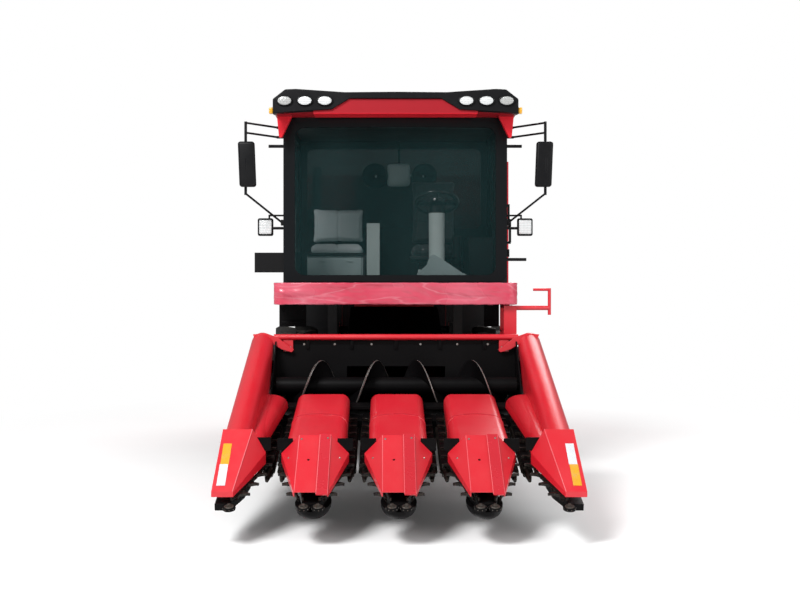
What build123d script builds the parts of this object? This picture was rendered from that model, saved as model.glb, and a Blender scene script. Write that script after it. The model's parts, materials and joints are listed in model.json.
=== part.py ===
from build123d import *

import os
from math import atan2, cos, degrees, radians, sin, tan

# Four-row self-propelled corn harvester, in millimetres.
# +Z is up, the machine faces -Y, and +X is its own left side, where the driver climbs in.
# The origin is on the ground, in the middle of the machine's length and width.

os.makedirs("parts", exist_ok=True)

# Whole machine
LENGTH = 7600
TIP_Y = -LENGTH / 2
REAR_Y = LENGTH / 2
SHEET = 6
RUNNING_GAP = 0.3
MOVING_GAP = 6
PIN_R = 20

# Corn header: rows, dividers and the sloping deck that carries them
ROW_SPACING = 560
DIVIDER_XS = (-ROW_SPACING, 0, ROW_SPACING)
ROW_XS = (-1.5 * ROW_SPACING, -0.5 * ROW_SPACING, 0.5 * ROW_SPACING, 1.5 * ROW_SPACING)
DECK_ANGLE = 15.3
DECK_FRONT_Y = TIP_Y + 60
DECK_FRONT_Z = 300
DECK_LENGTH = 1555
DECK_END_Y = DECK_FRONT_Y + DECK_LENGTH * cos(radians(DECK_ANGLE))

# Divider snouts and hoods
SNOUT_LENGTH = 450
SNOUT_RIDGE_HALF = 106
SNOUT_FRONT_Z = 350
SNOUT_REAR_Z = 650
SNOUT_FRONT_FALL = 4
SNOUT_REAR_FALL = 122
SNOUT_FRONT_EDGE = 28
SNOUT_REAR_EDGE = 58
RIDGE_STRIP = (34, SNOUT_RIDGE_HALF)
RIDGE_STRIP_THICK = 8
RIDGE_STRIP_LEAD = 34
HOOD_HALF = 200
HOOD_CORNER = 62
HOOD_GAP = 6
HOOD_LIFT = 14
HOOD_FRONT_Z = 612
HOOD_REAR_Z = 830
END_OUTER_X = 1180
END_TIP_X = 1190
END_HOOD_R = 92
END_HOOD_FRONT_Z = 690
END_HOOD_REAR_Z = 1285

# Row units: chains, deck plates, snapping rolls and the carriers under the dividers
CHAIN_HEIGHT = 26
CHAIN_WIDTH = 26
CHAIN_LUG = 52
CHAIN_LUG_PITCH = 132
PLATE_GAP = 34
PLATE_THICK = 8
CARRIER_HALF = 118
CARRIER_DEPTH = 110
POST_HALF = 34
ROLL_R = 42
ROLL_ROOT_R = 31
ROLL_OFFSET = 50
ROLL_DROP = 95
ROLL_SPAN = (480, 1420)
ROLL_NOSE = 140
ROLL_STUB_R = 20

# Auger, trough and header frame
AUGER_Y = TIP_Y + 1850
AUGER_Z = 870
AUGER_TUBE_R = 70
AUGER_STUB_R = 30
AUGER_FLIGHT_R = 205
AUGER_PITCH = 440
AUGER_FLIGHT_THICK = 10
AUGER_FLIGHT_STEPS = 12
TROUGH_HALF = 972
TROUGH_GAP = 30
BACK_SHEET_Y = TIP_Y + 2110
BACK_SHEET_TOP = 1215
TOP_BAR_R = 24
TOP_BAR_Z = 1248
BEAM_Y = (TIP_Y + 1600, TIP_Y + 1730)
BEAM_Z = (470, 590)
SHOE_HALF = 120
SHOE_TOP = 316

# Feeder house and the shaft that the header swings on
PIVOT_Y = 200
PIVOT_Z = 1250
PIVOT_R = 35
FEEDER_HALF = 430
FEEDER_HEIGHT = 420
FEEDER_FRONT_Y = BACK_SHEET_Y + 74
FEEDER_FRONT_Z = 800
FEED_HALF = FEEDER_HALF - 30
FEED_ZS = (690, 1010)
LIFT_X = 500
LIFT_A = (TIP_Y + 3330, 520)
LIFT_B = (TIP_Y + 2450, 620)
LIFT_EYE_GAP = 9
LIFT_BARREL_R = 48
LIFT_ROD_R = 28
LIFT_EYE_WIDTH = 48
NECK_R = 22

# Frame, axles and wheels
RAIL_X = 560
RAIL_WIDTH = 100
RAIL_Z = (950, 1150)
RAIL_YS = (-900, 3700)
CROSS_HEIGHT = 120
FRONT_AXLE_Y = -250
FRONT_WHEEL_X = 930
FRONT_TYRE_R = 650
FRONT_TYRE_W = 400
FRONT_RIM_R = 310
FRONT_SPINDLE_R = 60
FRONT_HUB_R = 120
FRONT_DISC_X = -20
REAR_AXLE_Y = 2850
REAR_WHEEL_X = 850
REAR_TYRE_R = 400
REAR_TYRE_W = 250
REAR_RIM_R = 200
REAR_SPINDLE_R = 35
REAR_HUB_R = 78
REAR_DISC_X = -10
HUB_HALF = 56
HUB_CAP = 12
WHEEL_SIDES = 32
LUG_HEIGHT = 34
LUG_ANGLE = 38
KINGPIN_X = 650
KINGPIN_R = 25
BOSS_R = 55
BOSS_HALF = 70
STEER_ARM = 200
STEER_PIN_R = 14
TIE_ROD_DROP = 45
TOW_PIN_R = 16.2
TOW_Z = (960, 1070)

# Cab
CAB_HALF = 985
CAB_FRONT_Y = TIP_Y + 2800
CAB_REAR_Y = TIP_Y + 4250
CAB_BOW = 60
FLOOR_Z = 1620
FLOOR_THICK = 60
SILL = 60
ROOF_Z = 3150
WALL = 45
POST = 70
GLASS = 8
SCREEN_Z = (1706, 3140)
SCREEN_CORNER = 70
DOOR_FRONT_Y = CAB_FRONT_Y + 80
DOOR_REAR_Y = 40
DOOR_GAP = 8
DOOR_RAIL = 70
HINGE_X = CAB_HALF + 18
HINGE_ZS = (1900, 2900)
HINGE_HALF = 40
HINGE_PIN_R = 6
HINGE_R = 12
SKIRT_HALF = 1050
SKIRT_Y = TIP_Y + 2490
SKIRT_Z = (1505, 1700)
ROOF_HALF = 1045
ROOF_FRONT_Y = TIP_Y + 2540
ROOF_TOP = 3310
VISOR_Y = ROOF_FRONT_Y - 80
MIRROR_X = 1350

# Ear bin and its tipping cylinders
BIN_YS = (2360, 3760)
BIN_HALF = 1080
BIN_FLOOR_Z = 1640
BIN_TOP_Z = 3000
BIN_PIVOT_X = 1020
BIN_PIVOT_Z = 1600
BIN_WALL = 30
BIN_RIB = 22
BEARER_YS = (2500, 3480)
BEARER_Z = (1460, 1530)
BIN_CYL_A = (450, 700)
BIN_CYL_B = (-50, 1560)
BIN_CYL_SHIFT = 120
BIN_EAR = 60
BIN_TOP_PIN_R = 14
BIN_BARREL_R = 52
BIN_ROD_R = 30
BIN_EYE_GAP = 17
BIN_EYE_WIDTH = 80

# Body behind the cab
ENGINE_TOP = 1760
HUSKER_TOP = 2450
HUSKER_YS = (1260, 2330)
HUSKER_HALF = 960
ENGINE_YS = (1010, 2300)
ENGINE_HALF = 1000
ELEVATOR_HALF = 400
CHOPPER_Y = 1150
CHOPPER_Z = 480
CHOPPER_R = 240
CHOPPER_HALF = 1060
CHOPPER_SHAFT_R = 30


def block(low, high, mode=Mode.ADD):
    """Adds a box to the open part, given its lowest and highest corners."""
    centre = [(a + b) / 2 for a, b in zip(low, high)]
    with Locations(tuple(centre)):
        Box(*[b - a for a, b in zip(low, high)], mode=mode)


def rod(start, end, radius, mode=Mode.ADD):
    """Adds a round bar to the open part, from one point to another."""
    line = Vector(*end) - Vector(*start)
    with BuildSketch(Plane(origin=start, z_dir=line), mode=Mode.PRIVATE) as section:
        Circle(radius)
    extrude(section.sketch, amount=line.length, mode=mode)


def plate(points, x_low, x_high, mode=Mode.ADD):
    """Adds a flat plate to the open part: an outline of (y, z) points, thick along X."""
    with BuildSketch(Plane.YZ.offset(x_low), mode=Mode.PRIVATE) as outline:
        with BuildLine():
            Polyline(*points, close=True)
        make_face()
    extrude(outline.sketch, amount=x_high - x_low, mode=mode)


def panel(points, y_low, y_high, mode=Mode.ADD):
    """Adds a flat plate to the open part: an outline of (x, z) points, thick along Y."""
    with BuildSketch(facing(y_high), mode=Mode.PRIVATE) as outline:
        with BuildLine():
            Polyline(*points, close=True)
        make_face()
    extrude(outline.sketch, amount=y_high - y_low, mode=mode)


def facing(y):
    """A plane that faces forward at y, with X across and Z up."""
    return Plane(origin=(0, y, 0), x_dir=(1, 0, 0), z_dir=(0, -1, 0))


def sideways(x):
    """A plane that faces +X at x, with Y across and Z up."""
    return Plane(origin=(x, 0, 0), x_dir=(0, 1, 0), z_dir=(1, 0, 0))


def window(plane, low, high, corner, amount, mode=Mode.ADD):
    """Adds a pane with rounded corners, or cuts its opening, through a plane."""
    centre = [(a + b) / 2 for a, b in zip(low, high)]
    with BuildSketch(plane, mode=Mode.PRIVATE) as outline:
        with Locations(tuple(centre)):
            RectangleRounded(high[0] - low[0], high[1] - low[1], corner)
    extrude(outline.sketch, amount=amount, mode=mode)


def save(builder, name):
    """Labels a finished piece and writes it."""
    builder.part.label = name
    export_step(builder.part, f"parts/{name}.step")


deck = Plane(
    origin=(0, DECK_FRONT_Y, DECK_FRONT_Z),
    x_dir=(1, 0, 0),
    z_dir=(0, -sin(radians(DECK_ANGLE)), cos(radians(DECK_ANGLE))),
)


def deck_z(y):
    return DECK_FRONT_Z + (y - DECK_FRONT_Y) * tan(radians(DECK_ANGLE))


# Header: snouts of the dividers, folded from flat sheet

SNOUT_REAR_Y = DECK_FRONT_Y + SNOUT_LENGTH
SNOUT_RISE = (SNOUT_REAR_Z - SNOUT_FRONT_Z) / SNOUT_LENGTH
SNOUT_SECTIONS = (
    # y, ridge z, fall from the ridge to the corner, height of the lower edge
    (DECK_FRONT_Y, SNOUT_FRONT_Z, SNOUT_FRONT_FALL, SNOUT_FRONT_EDGE),
    (SNOUT_REAR_Y, SNOUT_REAR_Z, SNOUT_REAR_FALL, SNOUT_REAR_EDGE),
)
END_SNOUT_SECTIONS = (
    # y, outer x, crease x, ridge z, run of the inner slope, height of the lower edge
    (DECK_FRONT_Y, END_TIP_X, 1056, SNOUT_FRONT_Z, SNOUT_FRONT_FALL, SNOUT_FRONT_EDGE),
    (SNOUT_REAR_Y, END_OUTER_X, 982, END_HOOD_FRONT_Z, 90, 75),
)
END_SLOPE = 1.75


def snout_skin(inset):
    """The space of a middle snout, moved in by the sheet's thickness."""
    sections = []
    for y, ridge_z, fall, edge in SNOUT_SECTIONS:
        ridge_half = SNOUT_RIDGE_HALF - inset * 0.414
        corner_half = SNOUT_RIDGE_HALF + fall - inset
        corner_z = ridge_z - fall - inset * 0.414
        low = corner_z - edge - (60 if inset else 0)
        half = [(ridge_half, ridge_z - inset), (corner_half, corner_z), (corner_half, low)]
        with BuildSketch(facing(y)) as section:
            with BuildLine():
                Polyline(*half, *[(-x, z) for x, z in reversed(half)], close=True)
            make_face()
        sections.append(section.sketch)
    return loft(sections, ruled=True)


def end_snout_body():
    """The snout of an end divider, with a steep inner face."""
    sections = []
    for y, outer, crease, ridge_z, run, edge in END_SNOUT_SECTIONS:
        corner_z = ridge_z - run * END_SLOPE
        with BuildSketch(facing(y)) as section:
            with BuildLine():
                Polyline(
                    (outer, ridge_z),
                    (crease, ridge_z),
                    (crease - run, corner_z),
                    (crease - run, corner_z - edge),
                    (outer, corner_z - edge),
                    close=True,
                )
            make_face()
        sections.append(section.sketch)
    return loft(sections, ruled=True)


ridge_plane = Plane(
    origin=(0, DECK_FRONT_Y, SNOUT_FRONT_Z),
    x_dir=(1, 0, 0),
    z_dir=(0, -SNOUT_RISE, 1),
)
ridge_length = SNOUT_LENGTH / cos(atan2(SNOUT_RISE, 1))
with BuildPart() as mid_snout:
    add(snout_skin(0))
    add(snout_skin(SHEET), mode=Mode.SUBTRACT)
    with BuildSketch(ridge_plane):
        with Locations((sum(RIDGE_STRIP) / 2, (ridge_length - RIDGE_STRIP_LEAD) / 2)):
            Rectangle(RIDGE_STRIP[1] - RIDGE_STRIP[0], ridge_length + RIDGE_STRIP_LEAD)
    extrude(amount=RIDGE_STRIP_THICK)
    with Locations(Location(ridge_plane * Pos((SNOUT_RIDGE_HALF * -0.3, ridge_length * 0.55, 0)))):
        Cylinder(9, 4 * SHEET, mode=Mode.SUBTRACT)

with BuildPart() as divider_snouts:
    add(end_snout_body())
    mirror(about=Plane.YZ)
    with Locations(*[(x, 0, 0) for x in DIVIDER_XS]):
        add(mid_snout.part)
save(divider_snouts, "divider_snouts")

# Header: rounded hoods behind the snouts

HOOD_FRONT_Y = SNOUT_REAR_Y + HOOD_GAP
HOOD_SLOPE = atan2(HOOD_REAR_Z - HOOD_FRONT_Z, DECK_END_Y - HOOD_FRONT_Y)
END_SLOPE_ANGLE = atan2(END_HOOD_REAR_Z - END_HOOD_FRONT_Z, BACK_SHEET_Y - 20 - SNOUT_REAR_Y)
END_HOOD_X = (END_OUTER_X - 2 * END_HOOD_R, END_OUTER_X)
END_SKIRT_X = END_OUTER_X - SHEET
ARCH_DEPTH = 460
ARCH_LEAD = 200


def arch_plane(x, y, z, slope):
    """A plane across a sloping hood, with its origin on the ridge and local Y away from the deck."""
    return Plane(origin=(x, y, z), x_dir=(1, 0, 0), z_dir=(0, -cos(slope), -sin(slope)))


def hood_top(y):
    return HOOD_FRONT_Z + (y - HOOD_FRONT_Y) * tan(HOOD_SLOPE)


with BuildPart() as mid_hood:
    for inset, mode in ((0, Mode.ADD), (SHEET, Mode.SUBTRACT)):
        with BuildSketch(arch_plane(0, HOOD_FRONT_Y, HOOD_FRONT_Z, HOOD_SLOPE)):
            with Locations((0, -inset - ARCH_DEPTH / 2)):
                RectangleRounded(2 * (HOOD_HALF - inset), ARCH_DEPTH, HOOD_CORNER - inset)
        extrude(amount=-(DECK_END_Y - HOOD_FRONT_Y) / cos(HOOD_SLOPE), mode=mode)
    split(bisect_by=deck.offset(HOOD_LIFT), keep=Keep.TOP)
    split(bisect_by=facing(DECK_END_Y), keep=Keep.TOP)

INNER_HOOD_X = (ROW_XS[3] + 78, END_OUTER_X - 80)
with BuildPart() as end_hoods:
    with BuildSketch(arch_plane(END_OUTER_X - END_HOOD_R, SNOUT_REAR_Y, END_HOOD_FRONT_Z, END_SLOPE_ANGLE)):
        with Locations((0, -ARCH_DEPTH / 2)):
            RectangleRounded(2 * END_HOOD_R, ARCH_DEPTH, END_HOOD_R - 1)
    extrude(amount=ARCH_LEAD)
    hood_run = (BACK_SHEET_Y + ARCH_LEAD - SNOUT_REAR_Y) / cos(END_SLOPE_ANGLE)
    extrude(faces().sort_by(Axis.Y)[-1], amount=hood_run)
    split(bisect_by=facing(BACK_SHEET_Y - 20), keep=Keep.TOP)
    with BuildSketch(arch_plane(sum(INNER_HOOD_X) / 2, HOOD_FRONT_Y, HOOD_FRONT_Z, HOOD_SLOPE)):
        with Locations((0, -ARCH_DEPTH / 2)):
            RectangleRounded(INNER_HOOD_X[1] - INNER_HOOD_X[0], ARCH_DEPTH, HOOD_CORNER)
    extrude(amount=-(DECK_END_Y - HOOD_FRONT_Y - 40) / cos(HOOD_SLOPE))
    split(bisect_by=facing(SNOUT_REAR_Y), keep=Keep.BOTTOM)
    split(bisect_by=deck.offset(HOOD_LIFT), keep=Keep.TOP)
    plate(
        (
            (SNOUT_REAR_Y, 390),
            (TIP_Y + 1500, 540),
            (BACK_SHEET_Y - 20, 540),
            (BACK_SHEET_Y - 20, deck_z(BACK_SHEET_Y - 20) + HOOD_LIFT + SHEET),
            (SNOUT_REAR_Y, deck_z(SNOUT_REAR_Y) + HOOD_LIFT + SHEET),
        ),
        END_SKIRT_X,
        END_OUTER_X,
    )
    mirror(about=Plane.YZ)

with BuildPart() as divider_hoods:
    add(end_hoods.part)
    with Locations(*[(x, 0, 0) for x in DIVIDER_XS]):
        add(mid_hood.part)
save(divider_hoods, "divider_hoods")

# Header: gathering chains, each a loop with hooked lugs on its outer run

CHAIN_RUN = (
    # distance from the divider's middle, distance along the deck
    (92, 20),
    (212, 470),
    (212, 1440),
)
LUG_OUTLINE = (
    # distance ahead of the lug's place, distance out from the chain
    (-18, 0),
    (2, CHAIN_LUG),
    (18, CHAIN_LUG * 0.92),
    (14, 0),
)


def lug_points(start, end):
    """Outline points of the lugs along one straight run, on its outer side."""
    run = Vector(*end) - Vector(*start)
    along = run.normalized()
    outward = Vector(along.Y, -along.X)
    count = int(run.length // CHAIN_LUG_PITCH)
    margin = (run.length - (count - 1) * CHAIN_LUG_PITCH) / 2
    points = []
    for i in range(count):
        for ahead, out in LUG_OUTLINE:
            spot = Vector(*start) + along * (margin + i * CHAIN_LUG_PITCH + ahead) + outward * out
            points.append((spot.X, spot.Y))
    return points


tip, bend, tail = CHAIN_RUN
with BuildPart() as chain:
    with BuildSketch(deck.offset(-CHAIN_HEIGHT)):
        with BuildLine():
            Polyline(
                tip,
                *lug_points(tip, bend),
                bend,
                *lug_points(bend, tail),
                tail,
                (tail[0] - 40, tail[1] + 42),
                (tail[0] - 80, tail[1]),
                (110, bend[1] + 40),
                (42, tip[1] + 10),
                (62, tip[1] - 26),
                close=True,
            )
        make_face()
        with BuildLine():
            Polyline(
                (88, tip[1] + 26),
                (bend[0] - CHAIN_WIDTH, bend[1] + 4),
                (tail[0] - CHAIN_WIDTH, tail[1] - 8),
                (tail[0] - 80 + CHAIN_WIDTH, tail[1] - 8),
                (110 + CHAIN_WIDTH, bend[1] + 34),
                (64, tip[1] + 20),
                close=True,
            )
        make_face(mode=Mode.SUBTRACT)
    extrude(amount=CHAIN_HEIGHT)

with BuildPart() as chain_pair:
    add(chain.part)
    mirror(about=Plane.YZ)

with BuildPart() as gathering_chains:
    with Locations((-2 * ROW_SPACING, 0, 0)):
        add(chain.part)
    mirror(about=Plane.YZ)
    with Locations(*[(x, 0, 0) for x in DIVIDER_XS]):
        add(chain_pair.part)
save(gathering_chains, "gathering_chains")

# Header: row units under the chains, with deck plates, roll gearboxes, chain carriers and tip idlers

ROW_HALF = ROW_SPACING / 2 - CARRIER_HALF
END_CARRIER_X = (ROW_XS[3] + ROW_HALF, END_SKIRT_X - 4)
END_CARRIER_HALF = (END_CARRIER_X[1] - END_CARRIER_X[0]) / 2
CARRIER_TOP = CHAIN_HEIGHT + MOVING_GAP
CARRIER_DROP = CARRIER_TOP + PLATE_THICK
CARRIERS = (
    # front x, front half-width, rear x, rear half-width
    (-2 * ROW_SPACING, 50, -sum(END_CARRIER_X) / 2, END_CARRIER_HALF),
    *[(x, 56, x, CARRIER_HALF) for x in DIVIDER_XS],
    (2 * ROW_SPACING, 50, sum(END_CARRIER_X) / 2, END_CARRIER_HALF),
)
IDLER_R = 40
IDLER_THICK = 22
IDLER_REACH = DECK_FRONT_Y - TIP_Y + CARRIER_TOP * sin(radians(DECK_ANGLE))
IDLER_U = IDLER_R - IDLER_REACH / cos(radians(DECK_ANGLE))
IDLER_XS = (-2 * ROW_SPACING + 46, *[x + dx for x in DIVIDER_XS for dx in (-46, 46)], 2 * ROW_SPACING - 46)


def deck_spot(along, drop):
    """A point along the deck in the machine's middle plane, at a depth under it."""
    return deck.from_local_coords((0, along, -drop))


NOSE_U = (-60, 420)
NOSE_DROP = (CARRIER_TOP + IDLER_THICK + 10, CARRIER_DROP + CARRIER_DEPTH + 20)
NOSE_FRONT = deck_spot(NOSE_U[0], NOSE_DROP[0])
NOSE_REAR = deck_spot(NOSE_U[1], NOSE_DROP[1])
with BuildPart() as row_units:
    for x in ROW_XS:
        for side in (-1, 1):
            with BuildSketch(deck.offset(-CARRIER_DROP)):
                with BuildLine():
                    Polyline(
                        (x + side * PLATE_GAP / 2, 640),
                        (x + side * PLATE_GAP / 2, DECK_LENGTH),
                        (x + side * ROW_HALF, DECK_LENGTH),
                        (x + side * ROW_HALF, 560),
                        (x + side * (ROW_HALF - 40), 560),
                        close=True,
                    )
                make_face()
            extrude(amount=PLATE_THICK)
            guide_x = x + side * (ROW_SPACING / 2 - CHAIN_RUN[2][0] + CHAIN_WIDTH / 2)
            with BuildSketch(deck.offset(-CHAIN_HEIGHT - MOVING_GAP)):
                with Locations((guide_x, (620 + CHAIN_RUN[2][1]) / 2)):
                    Rectangle(CHAIN_WIDTH - 8, CHAIN_RUN[2][1] - 620)
            extrude(amount=MOVING_GAP)
        with BuildSketch(deck.offset(-ROLL_DROP - 75)):
            with Locations((x, ROLL_SPAN[1] + 75)):
                Rectangle(2 * ROW_HALF, 110)
        extrude(amount=130)
        block((x - 60, BEAM_Y[0] - 60, 500), (x + 60, BEAM_Y[0], BEAM_Z[1]))
    for front_x, front_half, rear_x, rear_half in CARRIERS:
        with BuildSketch(deck.offset(-CARRIER_DROP - CARRIER_DEPTH)):
            with BuildLine():
                Polyline(
                    (front_x - front_half, 0),
                    (front_x + front_half, 0),
                    (rear_x + rear_half, 480),
                    (rear_x + rear_half, DECK_LENGTH - 20),
                    (rear_x - rear_half, DECK_LENGTH - 20),
                    (rear_x - rear_half, 480),
                    close=True,
                )
            make_face()
        extrude(amount=CARRIER_DEPTH + PLATE_THICK)
    # The carriers rise to a thin nose under their tip idlers
    plate(
        [(spot.Y, spot.Z) for spot in (NOSE_FRONT, deck_spot(NOSE_U[0], NOSE_DROP[1]), NOSE_REAR)],
        -END_SKIRT_X - 60,
        END_SKIRT_X + 60,
        mode=Mode.SUBTRACT,
    )
    with BuildSketch(deck.offset(-CARRIER_TOP)):
        with Locations(*[(x, IDLER_U) for x in IDLER_XS]):
            RegularPolygon(IDLER_R, 16, major_radius=False, rotation=180 / 16)
    extrude(amount=-IDLER_THICK)
    for x in DIVIDER_XS:
        for y in (DECK_FRONT_Y + 240, DECK_FRONT_Y + 400):
            tops = [SNOUT_FRONT_Z - SHEET + SNOUT_RISE * (at - DECK_FRONT_Y) for at in (y, y + 40)]
            foot = deck_z(y) - 80
            plate(((y, foot), (y + 40, foot), (y + 40, tops[1]), (y, tops[0])), x - POST_HALF, x + POST_HALF)
        for y in (DECK_FRONT_Y + 680, DECK_FRONT_Y + 1330):
            tops = [hood_top(at) - SHEET / cos(HOOD_SLOPE) for at in (y, y + 40)]
            foot = deck_z(y) - 80
            plate(((y, foot), (y + 40, foot), (y + 40, tops[1]), (y, tops[0])), x - POST_HALF, x + POST_HALF)
save(row_units, "row_units")

# Header: fluted snapping rolls, two under each row

ROLL_LENGTH = ROLL_SPAN[1] - ROLL_SPAN[0]
ROLL_FLUTES = 6
FLUTE_OUTLINE = (
    # turn in degrees from the rib's middle, radius
    (-10, ROLL_R),
    (10, ROLL_R),
    (24, ROLL_ROOT_R),
    (36, ROLL_ROOT_R),
)
flute_points = []
for k in range(ROLL_FLUTES):
    for turn, radius in FLUTE_OUTLINE:
        angle = radians(360 * k / ROLL_FLUTES + turn)
        flute_points.append((radius * cos(angle), radius * sin(angle)))
with BuildPart() as roll:
    with BuildSketch(Plane.XY.offset(ROLL_NOSE)):
        with BuildLine():
            Polyline(*flute_points, close=True)
        make_face()
    extrude(amount=ROLL_LENGTH - ROLL_NOSE)
    with BuildSketch(Plane.XY) as nose_tip:
        RegularPolygon(12, 12)
    with BuildSketch(Plane.XY.offset(ROLL_NOSE)) as nose_root:
        RegularPolygon(ROLL_ROOT_R, 12)
    loft([nose_tip.sketch, nose_root.sketch], ruled=True)
    with BuildSketch(Plane.XY.offset(ROLL_LENGTH)):
        Circle(ROLL_STUB_R)
    extrude(amount=20 - RUNNING_GAP)

roll_axis = (0, cos(radians(DECK_ANGLE)), sin(radians(DECK_ANGLE)))
for row, x in enumerate(ROW_XS, start=1):
    for name, side in (("right", -1), ("left", 1)):
        start = deck.from_local_coords((x + side * ROLL_OFFSET, ROLL_SPAN[0], -ROLL_DROP))
        with BuildPart() as snapping_roll:
            with Locations(Plane(origin=start, x_dir=(1, 0, 0), z_dir=roll_axis)):
                add(roll.part)
        save(snapping_roll, f"snapping_roll_{row}_{name}")

# Header: auger trough with its back sheet, frame, top bar and auger

TROUGH_R = AUGER_FLIGHT_R + TROUGH_GAP
LIP_ANGLE = radians(62)
trough_lips = [
    (AUGER_Y - radius * sin(LIP_ANGLE), AUGER_Z - radius * cos(LIP_ANGLE))
    for radius in (TROUGH_R, TROUGH_R + SHEET)
]
with BuildPart() as auger_trough:
    with BuildSketch(Plane.YZ.offset(-TROUGH_HALF)):
        with BuildLine():
            ThreePointArc(trough_lips[0], (AUGER_Y, AUGER_Z - TROUGH_R), (AUGER_Y + TROUGH_R, AUGER_Z))
            Polyline(
                (AUGER_Y + TROUGH_R, AUGER_Z),
                (BACK_SHEET_Y - SHEET, BACK_SHEET_TOP),
                (BACK_SHEET_Y, BACK_SHEET_TOP),
                (AUGER_Y + TROUGH_R + SHEET, AUGER_Z),
            )
            ThreePointArc(
                (AUGER_Y + TROUGH_R + SHEET, AUGER_Z),
                (AUGER_Y, AUGER_Z - TROUGH_R - SHEET),
                trough_lips[1],
            )
            Polyline(trough_lips[1], (DECK_END_Y + 8, 712), (DECK_END_Y + 8, 736), trough_lips[0])
        make_face()
    extrude(amount=2 * TROUGH_HALF)
    block(
        (-FEED_HALF, AUGER_Y + 20, FEED_ZS[0]),
        (FEED_HALF, BACK_SHEET_Y + 60, FEED_ZS[1]),
        mode=Mode.SUBTRACT,
    )
save(auger_trough, "auger_trough")

END_PLATE = 10
with BuildPart() as header_frame:
    plate(
        (
            (BEAM_Y[0] + 6, BEAM_Z[0]),
            (BACK_SHEET_Y + 30, BEAM_Z[0]),
            (BACK_SHEET_Y + 30, BACK_SHEET_TOP),
            (BACK_SHEET_Y - 60, BACK_SHEET_TOP),
            (BEAM_Y[0] + 6, 720),
        ),
        TROUGH_HALF,
        TROUGH_HALF + END_PLATE,
    )
    rod(
        (TROUGH_HALF, AUGER_Y, AUGER_Z),
        (TROUGH_HALF + END_PLATE, AUGER_Y, AUGER_Z),
        AUGER_STUB_R + RUNNING_GAP,
        mode=Mode.SUBTRACT,
    )
    block((TROUGH_HALF + END_PLATE, BACK_SHEET_Y - 160, 960), (END_HOOD_X[0], BACK_SHEET_Y - 40, 1060))
    block((0, BEAM_Y[0], BEAM_Z[0]), (END_SKIRT_X, BEAM_Y[1], BEAM_Z[1]))
    block((0, BACK_SHEET_Y + 10, 500), (END_OUTER_X, BACK_SHEET_Y + 70, 600))
    block((0, BACK_SHEET_Y + 10, 1120), (TROUGH_HALF, BACK_SHEET_Y + 70, 1200))
    block((770, BEAM_Y[1], 500), (830, BACK_SHEET_Y + 10, 560))
    mirror(about=Plane.YZ)
save(header_frame, "header_frame")

TOP_BAR_Y = BACK_SHEET_Y - 20
BRACKET_X = (840, 920)
BRACKET_FOOT = 1130
sheet_lean = (BACK_SHEET_Y - SHEET - AUGER_Y - TROUGH_R) / (BACK_SHEET_TOP - AUGER_Z)
foot_y = BACK_SHEET_Y - SHEET - (BACK_SHEET_TOP - BRACKET_FOOT) * sheet_lean
with BuildPart() as top_bar:
    rod((-END_HOOD_X[0], TOP_BAR_Y, TOP_BAR_Z), (END_HOOD_X[0], TOP_BAR_Y, TOP_BAR_Z), TOP_BAR_R)
    for x_low, x_high in (BRACKET_X, (-BRACKET_X[1], -BRACKET_X[0])):
        plate(
            (
                (BACK_SHEET_Y, BACK_SHEET_TOP),
                (BACK_SHEET_Y - SHEET, BACK_SHEET_TOP),
                (foot_y, BRACKET_FOOT),
                (foot_y - 10, BRACKET_FOOT),
                (TOP_BAR_Y - 8, BACK_SHEET_TOP),
                (TOP_BAR_Y - 8, TOP_BAR_Z),
                (BACK_SHEET_Y, TOP_BAR_Z - 8),
            ),
            x_low,
            x_high,
        )
save(top_bar, "top_bar")

AUGER_HALF = TROUGH_HALF - 17
FLIGHT_TURNS = 2
FLIGHT_START_X = FLIGHT_TURNS * AUGER_PITCH + 50
flight_sections = []
for k in range(FLIGHT_TURNS * AUGER_FLIGHT_STEPS + 1):
    angle = radians(-360 * k / AUGER_FLIGHT_STEPS)
    across = Plane(
        origin=(-FLIGHT_START_X + k * AUGER_PITCH / AUGER_FLIGHT_STEPS, AUGER_Y, AUGER_Z),
        x_dir=(0, cos(angle), sin(angle)),
        z_dir=(0, sin(angle), -cos(angle)),
    )
    with BuildSketch(across) as flight_section:
        with Locations(((AUGER_TUBE_R + AUGER_FLIGHT_R) / 2 - 8, 0)):
            Rectangle(AUGER_FLIGHT_R - AUGER_TUBE_R + 16, AUGER_FLIGHT_THICK)
    flight_sections.append(flight_section.sketch)
with BuildPart() as flight:
    loft(flight_sections, ruled=True)
with BuildPart() as header_auger:
    add(flight.part)
    mirror(about=Plane.YZ)
    rod((-AUGER_HALF, AUGER_Y, AUGER_Z), (AUGER_HALF, AUGER_Y, AUGER_Z), AUGER_TUBE_R)
    rod((-TROUGH_HALF - 12, AUGER_Y, AUGER_Z), (TROUGH_HALF + 12, AUGER_Y, AUGER_Z), AUGER_STUB_R)
save(header_auger, "header_auger")

# Header: skid shoes under the middle dividers, rounded from below

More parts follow.
